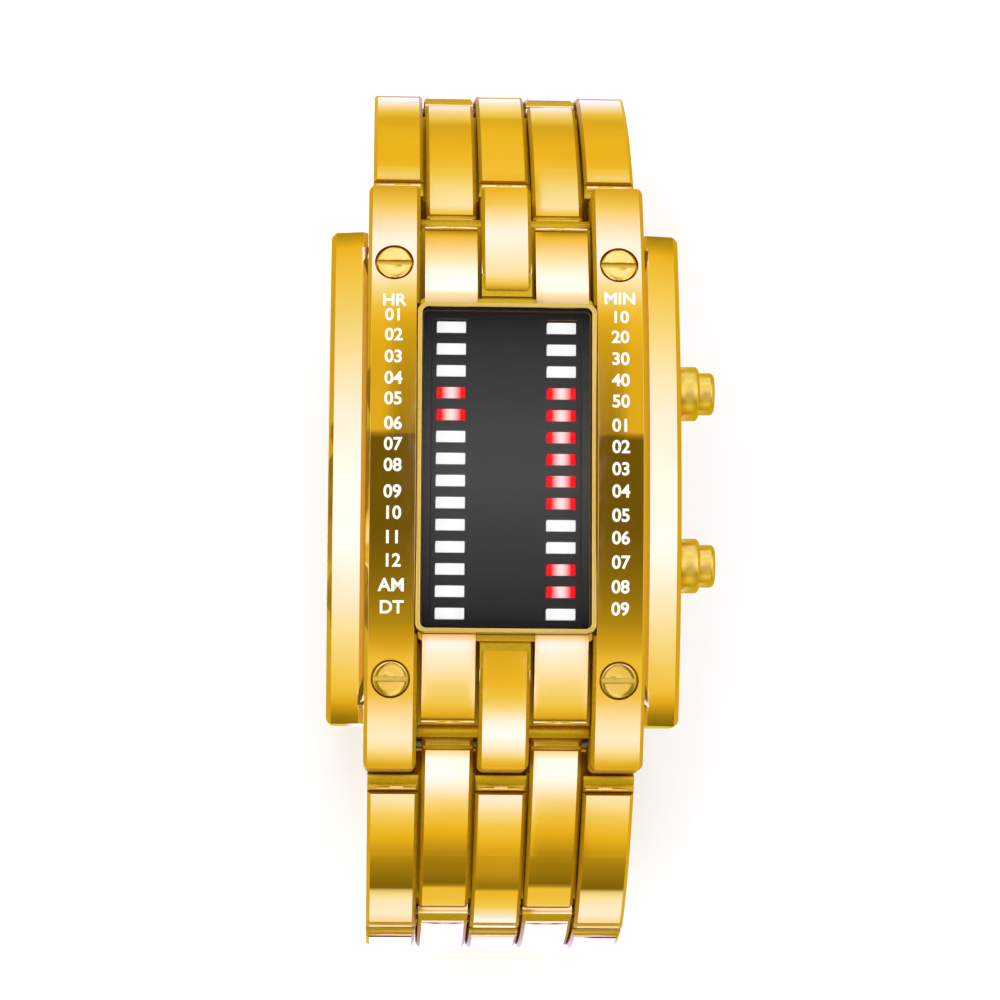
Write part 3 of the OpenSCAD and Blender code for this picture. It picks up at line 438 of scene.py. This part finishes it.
def finish_of(name, face, axes):
    """Crowns and outer sides are polished. Faces in a gap or off the crowns are satin, in a darker
    gold that is painted shade.
    """
    x, y = abs(face.center.x) / MM, abs(face.center.y) / MM
    sideways, upright = abs(face.normal.x) > SIDEWAYS, abs(face.normal.x) > UPRIGHT
    if sideways and x < GROOVES_X:
        return SATIN_PAINTED_SHADE
    if name == "case_body":
        if upright and x < CHAMFER_X[1]:
            return SATIN_PAINTED_SHADE
        if CHAMFER_X[0] < x < CHAMFER_X[1] and (sideways or y > CHAMFER_Y):
            return CHAMFER
        if x > SHOULDERS_X or y < DISPLAY_Y:
            return POLISHED
        if x < CENTRE_LUG_X and y < CENTRE_LUG_Y:
            axes = axes[:1]     # only the lug's own crown, not the shoulders' before it
    elif upright:
        return POLISHED
    elif "_link_" in name:
        across = (x + 0.001) % COLUMN_PITCH     # a little more, against rounding
        if COLUMN_W / 2 < across < COLUMN_PITCH - COLUMN_W / 2:
            return SATIN_PAINTED_SHADE
    # the flat tops of the second links stay polished too
    if sideways or face.normal.z > 0.97 and name.endswith("link_2"):
        return POLISHED
    lean = Vector((0, face.normal.y, face.normal.z))
    for mid_y, mid_z, radius in axes:
        out = Vector((0, face.center.y / MM - mid_y, face.center.z / MM - mid_z))
        if abs(out.length - radius) < 0.1 and out.angle(lean) < math.radians(25):
            return POLISHED
    return SATIN_PAINTED_SHADE


def soften(name, width, finish):
    """A node's shape with the softly rounded edges of polished metal."""
    piece = bpy.data.objects.new(name + "_polished", nodes[name].data.copy())
    bpy.context.scene.collection.objects.link(piece)
    only(piece)
    bpy.ops.object.mode_set(mode="EDIT")
    bpy.ops.mesh.select_all(action="SELECT")
    bpy.ops.mesh.remove_doubles(threshold=0.002 * MM)
    bpy.ops.mesh.dissolve_limited(angle_limit=math.radians(0.4))
    bpy.ops.object.mode_set(mode="OBJECT")
    round_edges(piece, width, 28)
    bpy.ops.object.shade_smooth_by_angle(angle=math.radians(32))
    normals = piece.modifiers.new("normals", "WEIGHTED_NORMAL")
    normals.mode = "FACE_AREA"
    normals.weight = 80
    normals.keep_sharp = True
    bpy.ops.object.modifier_apply(modifier="normals")
    axes = crown_axes(name)
    if axes:
        true_curves(piece, axes)
        dress(piece.data, finish, gap_gold_painted_shade, side_gold)
        for face in piece.data.polygons:
            face.material_index = finish_of(name, face, axes)
    else:
        dress(piece.data, finish)
    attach(piece, nodes[name]["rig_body"])
    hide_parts(name)
    return piece


def settle(piece, body, finish):
    """Fixes a finished piece's place in its mesh, gives it its finish and hangs it on its body."""
    only(piece)
    bpy.ops.object.transform_apply(location=True, rotation=True, scale=True)
    if finish is not None:
        dress(piece.data, finish)
    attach(piece, body)
    return piece


def join(pieces):
    only(*pieces)
    if len(pieces) > 1:
        bpy.ops.object.join()
    return pieces[0]


def copies(first, places):
    """Copies of a piece, each with its own mesh, moved and turned to its place, joined as one."""
    made = []
    for place in places:
        twin = first.copy()
        twin.data = first.data.copy()
        twin.data.transform(place)
        bpy.context.scene.collection.objects.link(twin)
        made.append(twin)
    bpy.data.objects.remove(first)
    return join(made)


def rail_place(x, y, lift=0.0):
    """Place on the crown of a rail, square to its curve, in metres."""
    lean = math.asin(y / RAIL_CURVE)
    centre = LENS_TOP + RAIL_RISE - RAIL_CURVE
    radius = RAIL_CURVE + lift
    at = Vector((x, radius * math.sin(lean), centre + radius * math.cos(lean))) * MM
    return Matrix.Translation(at) @ Matrix.Rotation(-lean, 4, "X")


ROWS = range(14)
HOUR_RED = [3, 4]               # rows that are lit red, from the top
MINUTE_RED = [3, 4, 5, 6, 7, 8, 11, 12]


def glowing_bars(name, side, rows, finish):
    """Bars of glowing resin, made once as a rounded block and repeated down the column."""
    bpy.ops.object.select_all(action="DESELECT")
    bpy.ops.mesh.primitive_cube_add(size=1, scale=[length * MM for length in BAR_SIZE])
    bar = bpy.context.object
    bpy.ops.object.transform_apply(location=True, rotation=True, scale=True)
    bpy.ops.object.mode_set(mode="EDIT")
    bpy.ops.mesh.select_all(action="SELECT")
    bpy.ops.mesh.bevel(offset=0.07 * MM, segments=3)
    bpy.ops.object.mode_set(mode="OBJECT")
    bpy.ops.object.shade_smooth_by_angle(angle=math.radians(40))
    middle_row = (len(ROWS) - 1) / 2
    high = LENS_TOP - BAR_DEPTH - BAR_SIZE[2] / 2
    bar = copies(bar, [
        Matrix.Translation(Vector((side * BAR_X, (middle_row - row) * BAR_PITCH, high)) * MM)
        for row in rows])
    bar.name = name
    return settle(bar, "watch_case", finish)


for column, side, red in (("hour", -1, HOUR_RED), ("minute", 1, MINUTE_RED)):
    white = [row for row in ROWS if row not in red]
    glowing_bars(f"{column}_bars_red", side, red, red_light)
    bars = glowing_bars(f"{column}_bars_white", side, white, white_bars_painted_glow)
    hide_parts(f"{column}_lights")


# Rail screws, in millimetres
SCREW_Y = 17.5
HEAD_RADIUS = 1.45
HEAD_HEIGHT = 0.7
SHANK_STEP = 0.75               # from the edge of the head in to the shank
SHANK_LENGTH = 4.3
SLOT_CUT = (4, 0.42, 1.2)       # the bar that cuts the slot
SLOT_CUT_Z = 0.35               # its middle, half of its height above the slot's floor
SLOT_FLOOR = -0.25
SCREW_LIFT = -0.05


def slotted_screw():
    """Flat-topped screw with a rolled rim and a straight slot: a turned blank, cut with a bar."""
    bpy.ops.object.select_all(action="DESELECT")
    bpy.ops.mesh.primitive_cylinder_add(vertices=64, radius=HEAD_RADIUS * MM,
                                        depth=HEAD_HEIGHT * MM,
                                        location=(0, 0, -HEAD_HEIGHT / 2 * MM))
    screw = bpy.context.object
    bpy.ops.object.transform_apply(location=True, rotation=True, scale=True)
    bpy.ops.object.mode_set(mode="EDIT")
    bpy.ops.mesh.select_mode(type="FACE")
    bpy.ops.mesh.select_all(action="DESELECT")
    shape = bmesh.from_edit_mesh(screw.data)
    for face in shape.faces:
        face.select = face.normal.z > 0.9
    bmesh.update_edit_mesh(screw.data)
    # rolled rim, then a flat top in rings
    for inset, rise in ((0.06, 0.03), (0.06, 0.01), (0.3, 0), (0.3, 0)):
        bpy.ops.mesh.inset(thickness=inset * MM)
        bpy.ops.transform.translate(value=(0, 0, rise * MM))
    bpy.ops.mesh.select_all(action="DESELECT")
    for face in shape.faces:
        face.select = face.normal.z < -0.9
    bmesh.update_edit_mesh(screw.data)
    bpy.ops.mesh.inset(thickness=SHANK_STEP * MM)
    bpy.ops.mesh.extrude_region_move(
        TRANSFORM_OT_translate={"value": (0, 0, -SHANK_LENGTH * MM)})
    bpy.ops.object.mode_set(mode="OBJECT")
    bpy.ops.mesh.primitive_cube_add(size=1, location=(0, 0, SLOT_CUT_Z * MM),
                                    scale=[length * MM for length in SLOT_CUT])
    slot_bar = bpy.context.object
    cut = screw.modifiers.new("slot", "BOOLEAN")
    cut.operation = "DIFFERENCE"
    cut.solver = "EXACT"
    cut.object = slot_bar
    only(screw)
    bpy.ops.object.modifier_apply(modifier="slot")
    bpy.data.objects.remove(slot_bar)
    # the head's sides and the slot's walls take the darker gap gold, whose darker colour is painted
    # shade
    finishes = [head_gold, slot_gold, gap_gold_painted_shade]
    dress(screw.data, *finishes)
    for face in screw.data.polygons:
        if abs(face.center.z - SLOT_FLOOR * MM) < 0.15 * MM and face.normal.z > 0.9:
            face.material_index = finishes.index(slot_gold)
        elif abs(face.normal.z) < 0.4:
            face.material_index = finishes.index(gap_gold_painted_shade)
    round_edges(screw, 0.03, 40)
    bpy.ops.object.shade_smooth_by_angle(angle=math.radians(30))
    return screw


screws = copies(slotted_screw(), [rail_place(x * RAIL_MID, y * SCREW_Y, SCREW_LIFT)
                                  for x in (-1, 1) for y in (-1, 1)])
screws.name = "slotted_rail_screws"
settle(screws, "watch_case", None)
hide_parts("rail_screws")

# Plain scales on the rails: label and distance from the middle of the watch in millimetres
HOUR_SCALE = [("HR", 14.05), ("01", 12.75), ("02", 11.0), ("03", 9.1), ("04", 7.25), ("05", 5.5),
              ("06", 3.4), ("07", 1.65), ("08", -0.1), ("09", -2.3), ("10", -4.05), ("11", -6.05),
              ("12", -7.95), ("AM", -9.95), ("DT", -11.75)]
MINUTE_SCALE = [("MIN", 14.4), ("10", 12.75), ("20", 11.0), ("30", 9.1), ("40", 7.25), ("50", 5.45),
                ("01", 3.4), ("02", 1.6), ("03", -0.25), ("04", -2.1), ("05", -4.1), ("06", -5.95),
                ("07", -7.95), ("08", -9.95), ("09", -11.75)]
enamel = matte("cream_enamel", (0.9, 0.87, 0.74), (0.97, 0.95, 0.86), 0.4, 4000, 0.000001)


# Printed figures, in millimetres
FIGURE_HEIGHT = 1.5
FIGURE_SWELL = 0.035            # how much bolder than the plain letter
FIGURE_THICKNESS = 0.008
FIGURE_LIFT = 0.006


def scale_label(text, x, y):
    """Small raised enamel figure that lies on the rail's curve."""
    curve = bpy.data.curves.new("figure", "FONT")
    curve.body = text
    curve.size = FIGURE_HEIGHT * MM
    curve.align_x = "CENTER"
    curve.align_y = "CENTER"
    curve.offset = FIGURE_SWELL * MM
    curve.extrude = FIGURE_THICKNESS * MM
    curve.resolution_u = 5
    figure = bpy.data.objects.new("figure", curve)
    bpy.context.scene.collection.objects.link(figure)
    only(figure)
    bpy.ops.object.convert(target="MESH")
    figure = bpy.context.object
    figure.data.transform(rail_place(x, y, FIGURE_LIFT))
    return figure


for name, x, labels in (("hour_scale", -RAIL_MID, HOUR_SCALE),
                        ("minute_scale", RAIL_MID, MINUTE_SCALE)):
    scale = join([scale_label(text, x, y) for text, y in labels])
    scale.name = name
    settle(scale, "watch_case", enamel)

PLATE_EDGE = 0.1                # widths of the rounded edges in millimetres
FRAME_EDGE = 0.08
BUTTON_EDGE = 0.04
for name in ("case_body", "hour_rail", "minute_rail", "clasp_cover"):
    soften(name, PLATE_EDGE, gold)
soften("display_frame", FRAME_EDGE, frame_gold)
for side in ("upper", "lower"):
    for number in (1, 2, 3):
        soften(f"{side}_link_{number}", PLATE_EDGE, gold)
    soften(f"{side}_pusher", BUTTON_EDGE, button_gold)
soften("pusher_tubes", BUTTON_EDGE, button_gold)

# ---------------------------------------------------------------- stage, light and camera
# Colours of the light that polished metal mirrors, by level: level 1 renders gold as written.
# The boxes that light the brightest stretches are cooler than the rest of the room.
BOX_TONES = [(0, (0, 0, 0)), (0.55, (0.51, 0.475, 0.045)), (1, (0.95, 0.865, 0.096)),
             (1.27, (1.01, 1.1, 0.51)), (1.62, (1.07, 1.4, 2.08)), (1.85, (1.3, 1.6, 4.16)),
             (2.1, (1.6, 1.82, 6.4)), (2.5, (2.3, 2.4, 8.6))]
BRIGHTEST = 8.6
CAMERA_SIDE = 0.039             # how far the camera stands to the left, as a share of its distance
CAMERA_HEIGHT = 81.3            # degrees above the table
CAMERA_ROLL = 0.3               # degrees
CAMERA_DISTANCE = 0.28          # metres from the top of the lens


def box_tone(level):
    for (low, first), (high, second) in zip(BOX_TONES, BOX_TONES[1:]):
        if level <= high:
            share = (level - low) / (high - low)
            return [f + share * (s - f) for f, s in zip(first, second)]
    return list(BOX_TONES[-1][1])


def strip_light(tree, value, stops):
    """Light along value, whose stops are (value, level)."""
    low, high = stops[0][0], stops[-1][0]
    ramp = tree.nodes.new("ShaderNodeValToRGB")
    for number in range(len(stops) - 2):
        ramp.color_ramp.elements.new((number + 1) / len(stops))
    for element, (at, _) in zip(ramp.color_ramp.elements, stops):
        element.position = (at - low) / (high - low)
    for element, (_, level) in zip(ramp.color_ramp.elements, stops):
        element.color = (*[v / BRIGHTEST for v in box_tone(level)], 1)
    tree.links.new(fade(tree, value, low, high), ramp.inputs["Fac"])
    return ramp.outputs["Color"]


def blend_lights(tree, share, first, second):
    blend = tree.nodes.new("ShaderNodeMix")
    blend.data_type = "RGBA"
    tree.links.new(share, blend.inputs["Factor"])
    tree.links.new(first, blend.inputs["A"])
    tree.links.new(second, blend.inputs["B"])
    return blend.outputs["Result"]


def mirror_only(tree, plain, mirrored, output):
    """Glossy rays see the mirrored light, and all other rays the plain one."""
    rays = tree.nodes.new("ShaderNodeLightPath")
    choose = tree.nodes.new("ShaderNodeMixShader")
    tree.links.new(rays.outputs["Is Glossy Ray"], choose.inputs["Fac"])
    tree.links.new(plain.outputs[0], choose.inputs[1])
    tree.links.new(mirrored.outputs[0], choose.inputs[2])
    tree.links.new(choose.outputs[0], output.inputs["Surface"])


def studio():
    """Even pale light, with soft boxes and flags that only glossy surfaces mirror.

    Each strip is the light along the watch, by its angle from straight up towards 12 o'clock.
    The strips lie side by side: across is how far a direction leans to the side, measured from
    the camera's own."""
    world = bpy.data.worlds.new("studio")
    bpy.context.scene.world = world
    world.use_nodes = True
    world.cycles.sampling_method = "NONE"
    tree = world.node_tree
    tree.nodes.clear()
    output = tree.nodes.new("ShaderNodeOutputWorld")
    plain = tree.nodes.new("ShaderNodeBackground")
    plain.inputs["Color"].default_value = (1, 1, 1, 1)
    plain.inputs["Strength"].default_value = 1.2
    mirrored = tree.nodes.new("ShaderNodeBackground")
    mirrored.inputs["Strength"].default_value = BRIGHTEST
    axes = axes_of(tree, "Generated")
    angle = sum_up(tree, "DEGREES", sum_up(tree, "ARCTAN2", axes["Y"], axes["Z"]))
    across = sum_up(tree, "ABSOLUTE", sum_up(tree, "SUBTRACT", axes["X"], CAMERA_SIDE))
    lugs = strip_light(tree, angle, [
        (-90, 0.82), (-85.5, 1.02), (-80, 1.24), (-76.4, 1.51), (-72.9, 1.78), (-70, 1.95),
        (-47, 1.0), (-43.2, 0.95), (-42.1, 1.4), (-40.3, 1.91), (-38, 2.2), (-35.8, 2.04),
        (-33.2, 1.49), (-31.4, 1.22), (-28.8, 1.01), (-24, 0.87), (-10, 0.4), (8, 2.2), (22, 2.2),
        (30, 0.4), (40, 0.4), (41.5, 1.22), (43.4, 1.69), (47.4, 1.91), (51.4, 2.08), (54.4, 1.79),
        (57.6, 1.31), (60.8, 1.0), (86, 1.02), (90, 1.12)])
    shoulders = strip_light(tree, angle, [
        (-90, 0.55), (-81.8, 0.97), (-76.4, 1.21), (-71.2, 1.51), (-66.2, 1.98), (-63, 2.22),
        (-58, 2.22), (-55, 1.55), (-53, 0.5), (-45, 0.5), (-43.4, 0.92), (-41.2, 1.21),
        (-36.9, 1.5), (-32.7, 1.84), (-28.5, 2.06), (-25, 2.1), (-20, 1.0), (8, 2.2), (22, 2.2),
        (30, 0.4), (44.1, 1.8), (46.4, 2.22), (50, 2.22), (54.9, 1.7), (59.9, 1.06), (61.5, 0.4),
        (72.6, 1.26), (75, 1.72), (80.6, 1.61), (87, 1.33), (90, 1.22)])
    rails = strip_light(tree, angle, [
        (-90, 0.7), (-84, 1.0), (-80, 1.16), (-76.4, 1.34), (-70, 1.77), (-46, 0.9), (-43.4, 0.88),
        (-42, 1.35), (-40.5, 1.72), (-38.5, 1.9), (-36, 1.76), (-31, 1.17), (-25, 1.1), (-22, 0.77),
        (-18, 0.49), (-13.3, 0.34), (-7.8, 0.25), (-2, 0.19), (13.95, 0.185), (14.3, 0.9),
        (28, 0.87), (34, 1.02), (37.3, 1.22), (40.5, 1.62), (46, 2.1), (50, 2.05), (57.3, 1.3),
        (61, 0.85), (84, 0.9), (87.5, 1.45), (90, 1.25)])
    rails_near = strip_light(tree, angle, [
        (13, 0.185), (13.95, 0.185), (14.3, 0.38), (18, 0.47), (24, 0.56), (28, 0.66), (32, 0.75),
        (35.5, 0.93), (38, 1.25), (41, 1.6), (46, 2.1), (50, 2.05)])
    sides = strip_light(tree, angle, [
        (-90, 0.6), (-38, 0.25), (-35.8, 0.45), (-33.5, 0.85), (-31.3, 1.14), (-26.8, 1.35),
        (-20, 1.65), (-13.4, 1.9), (-7, 2.12), (-4.5, 2.22), (8, 2.22), (14, 2.09), (20.5, 1.97),
        (28, 1.77), (36, 1.53), (44.5, 1.29), (49.5, 1.13), (52, 1.0), (54.5, 0.6), (57, 0.4),
        (90, 0.6)])
    collars = strip_light(tree, angle, [
        (-130, 0.24), (-115, 0.31), (-102, 0.45), (-90, 0.71), (-80, 1.0), (-70, 1.19), (-60, 1.35),
        (-51, 1.5), (-43, 1.8), (-34, 1.98), (-17, 2.1), (0, 2.2), (8, 2.15), (17, 2.05),
        (25, 1.95), (34, 1.75), (43, 1.5), (53, 1.27), (62, 1.13), (73, 0.9), (85, 0.63),
        (98, 0.43), (113, 0.3)])
    buttons = strip_light(tree, angle, [
        (-109, 0.49), (-94, 0.76), (-80, 1.05), (-67, 1.2), (-55, 1.08), (-44, 0.65), (-33, 0.37),
        (-22, 0.25), (-11, 0.29), (-1, 0.46), (10, 0.95), (21, 1.32), (32, 1.6), (44, 1.82),
        (56, 1.91), (69, 2.06), (84, 1.95), (100, 1.5), (121, 1.05)])
    ends = strip_light(tree, angle, [
        (-110, 0.5), (-92, 0.3), (-78, 0.75), (-66, 1.5), (-54, 1.55), (-42, 0.85), (-20, 0.95),
        (20, 0.95), (42, 0.85), (54, 1.55), (66, 1.5), (78, 0.75), (92, 0.3), (110, 0.5)])
    # the rails' inner halves mirror a darker stretch than the outer halves
    inner_half = spread(tree, across, 1, 0, 0.0325, 0.0362)
    upper_part = sum_up(tree, "MULTIPLY", fade(tree, angle, 12, 13),
                        spread(tree, angle, 1, 0, 45, 46))
    rails = blend_lights(tree, sum_up(tree, "MULTIPLY", upper_part, inner_half), rails, rails_near)
    columns = lugs
    for start, end, strip in ((0.008, 0.0095, shoulders), (0.0235, 0.0255, rails),
                              (0.048, 0.0505, collars), (0.0578, 0.0596, buttons)):
        columns = blend_lights(tree, fade(tree, across, start, end), columns, strip)
    wide = blend_lights(tree, fade(tree, across, 0.49, 0.62), sides, ends)
    tree.links.new(blend_lights(tree, fade(tree, across, 0.12, 0.25), columns, wide),
                   mirrored.inputs["Color"])
    mirror_only(tree, plain, mirrored, output)


def table():
    """White table. What the metal mirrors in it are the strips of its own, along the watch."""
    bpy.ops.object.select_all(action="DESELECT")
    bpy.ops.mesh.primitive_plane_add(size=4, location=(0, 0, 0))
    floor = bpy.context.object
    floor.name = "white_table"
    material = bpy.data.materials.new("table_white")
    material.use_nodes = True
    tree = material.node_tree
    tree.nodes.clear()
    output = tree.nodes.new("ShaderNodeOutputMaterial")
    paint = tree.nodes.new("ShaderNodeBsdfDiffuse")
    paint.inputs["Color"].default_value = (1, 1, 1, 1)
    glow = tree.nodes.new("ShaderNodeEmission")
    glow.inputs["Strength"].default_value = BRIGHTEST
    axes = axes_of(tree)
    along = axes["Y"]
    middle = strip_light(tree, along, [
        (-1.95, 0.75), (-0.78, 0.7), (-0.356, 0.62), (-0.28, 0.56), (-0.231, 0.46), (-0.197, 0.37),
        (-0.183, 0.34), (-0.179, 1.05), (-0.152, 1.06), (-0.123, 1.25), (-0.113, 1.46),
        (-0.103, 1.77), (-0.095, 2.16), (-0.049, 2.2), (0.065, 2.1), (0.075, 1.57), (0.083, 1.31),
        (0.096, 1.2), (0.102, 0.81), (0.114, 0.85), (0.129, 0.94), (0.147, 1.0), (0.244, 1.04),
        (0.67, 1.09), (1.95, 1.09)])
    inner = strip_light(tree, along, [
        (-1.95, 0.51), (-0.78, 0.45), (-0.356, 0.38), (-0.28, 0.34), (-0.232, 0.29), (-0.199, 0.28),
        (-0.195, 1.1), (-0.151, 1.13), (-0.135, 1.19), (-0.11, 1.4), (-0.072, 1.5), (-0.063, 2.2),
        (-0.04, 2.1), (0.07, 2.1), (0.083, 1.65), (0.0915, 1.42), (0.1025, 1.25), (0.114, 0.85),
        (0.129, 0.79), (0.147, 0.85), (0.2, 0.95), (0.31, 1.0), (0.68, 1.09), (1.95, 1.19)])
    outer = strip_light(tree, along, [
        (-1.95, 0.66), (-0.78, 0.53), (-0.49, 0.45), (-0.356, 0.4), (-0.28, 0.36), (-0.231, 0.31),
        (-0.197, 0.27), (-0.171, 0.26), (-0.167, 1.48), (-0.152, 1.6), (-0.136, 1.76),
        (-0.122, 1.82), (-0.1, 1.85), (-0.094, 1.7), (-0.088, 1.1), (-0.081, 1.2), (-0.07, 2.1),
        (0.065, 2.1), (0.071, 1.93), (0.0775, 1.5), (0.0855, 1.25), (0.095, 1.02), (0.105, 0.85),
        (0.118, 0.85), (0.134, 0.93), (0.178, 0.99), (0.48, 1.01), (0.83, 1.05), (1.95, 1.14)])
    beside = strip_light(tree, along, [(-1.95, 0.45), (0, 0.8), (1.95, 0.45)])

    # Rays from the camera by way of the five columns of the bracelet spread over the table, from
    # the bracelet's ends on. This leads each place back to the column that mirrors it.
    bracelet_end, spread_length = 0.036, 0.275
    away = sum_up(tree, "SUBTRACT", sum_up(tree, "ABSOLUTE", along), bracelet_end)
    away = sum_up(tree, "MAXIMUM", away)
    column = sum_up(tree, "SUBTRACT", axes["X"], sum_up(tree, "MULTIPLY", away, CAMERA_SIDE))
    wider = sum_up(tree, "ADD", sum_up(tree, "DIVIDE", away, spread_length), 1.0)
    column = sum_up(tree, "ABSOLUTE", sum_up(tree, "DIVIDE", column, wider))
    light = middle
    for start, end, strip in ((0.0021, 0.0025, inner), (0.0066, 0.0071, outer),
                              (0.0118, 0.0135, beside)):
        light = blend_lights(tree, fade(tree, column, start, end), light, strip)
    tree.links.new(light, glow.inputs["Color"])
    mirror_only(tree, paint, glow, output)
    floor.data.materials.append(material)


def lamp():
    """One large soft box, high on the left, for the diffuse surfaces alone."""
    data = bpy.data.lights.new("soft_box", "AREA")
    data.shape = "RECTANGLE"
    data.size = 0.5
    data.size_y = 0.5
    data.energy = 1.1
    data.specular_factor = 0.0
    box = bpy.data.objects.new("soft_box", data)
    bpy.context.scene.collection.objects.link(box)
    box.location = (-0.35, -0.3, 0.75)
    box.rotation_mode = "QUATERNION"
    box.rotation_quaternion = (Vector((0, 0, 0.03)) - box.location).to_track_quat("-Z", "Y")
    box.visible_glossy = False


def camera():
    """Long lens, nearly square above the dial, a little to the left and towards 6 o'clock."""
    data = bpy.data.cameras.new("photo_camera")
    data.lens = 122
    data.sensor_width = 36
    data.clip_start = 0.01
    data.clip_end = 20
    eye = bpy.data.objects.new("photo_camera", data)
    bpy.context.scene.collection.objects.link(eye)
    high = math.radians(CAMERA_HEIGHT)
    side = math.asin(CAMERA_SIDE)
    stand = Vector((-math.sin(side), -math.cos(side) * math.cos(high),
                    math.cos(side) * math.sin(high)))
    eye.location = Vector((0, 0, LENS_TOP * MM)) + CAMERA_DISTANCE * stand
    target = Vector((-0.00054, -0.00277, LENS_TOP * MM))
    look = (target - eye.location).normalized()
    right = look.cross(Vector((0, 1, 0))).normalized()
    turn = Matrix((right, right.cross(look), -look)).transposed().to_quaternion()
    turn = turn @ Quaternion((0, 0, 1), math.radians(CAMERA_ROLL))
    eye.rotation_mode = "QUATERNION"
    eye.rotation_quaternion = turn
    bpy.context.scene.camera = eye


studio()
table()
lamp()
camera()
bpy.context.scene.view_settings.view_transform = "Standard"
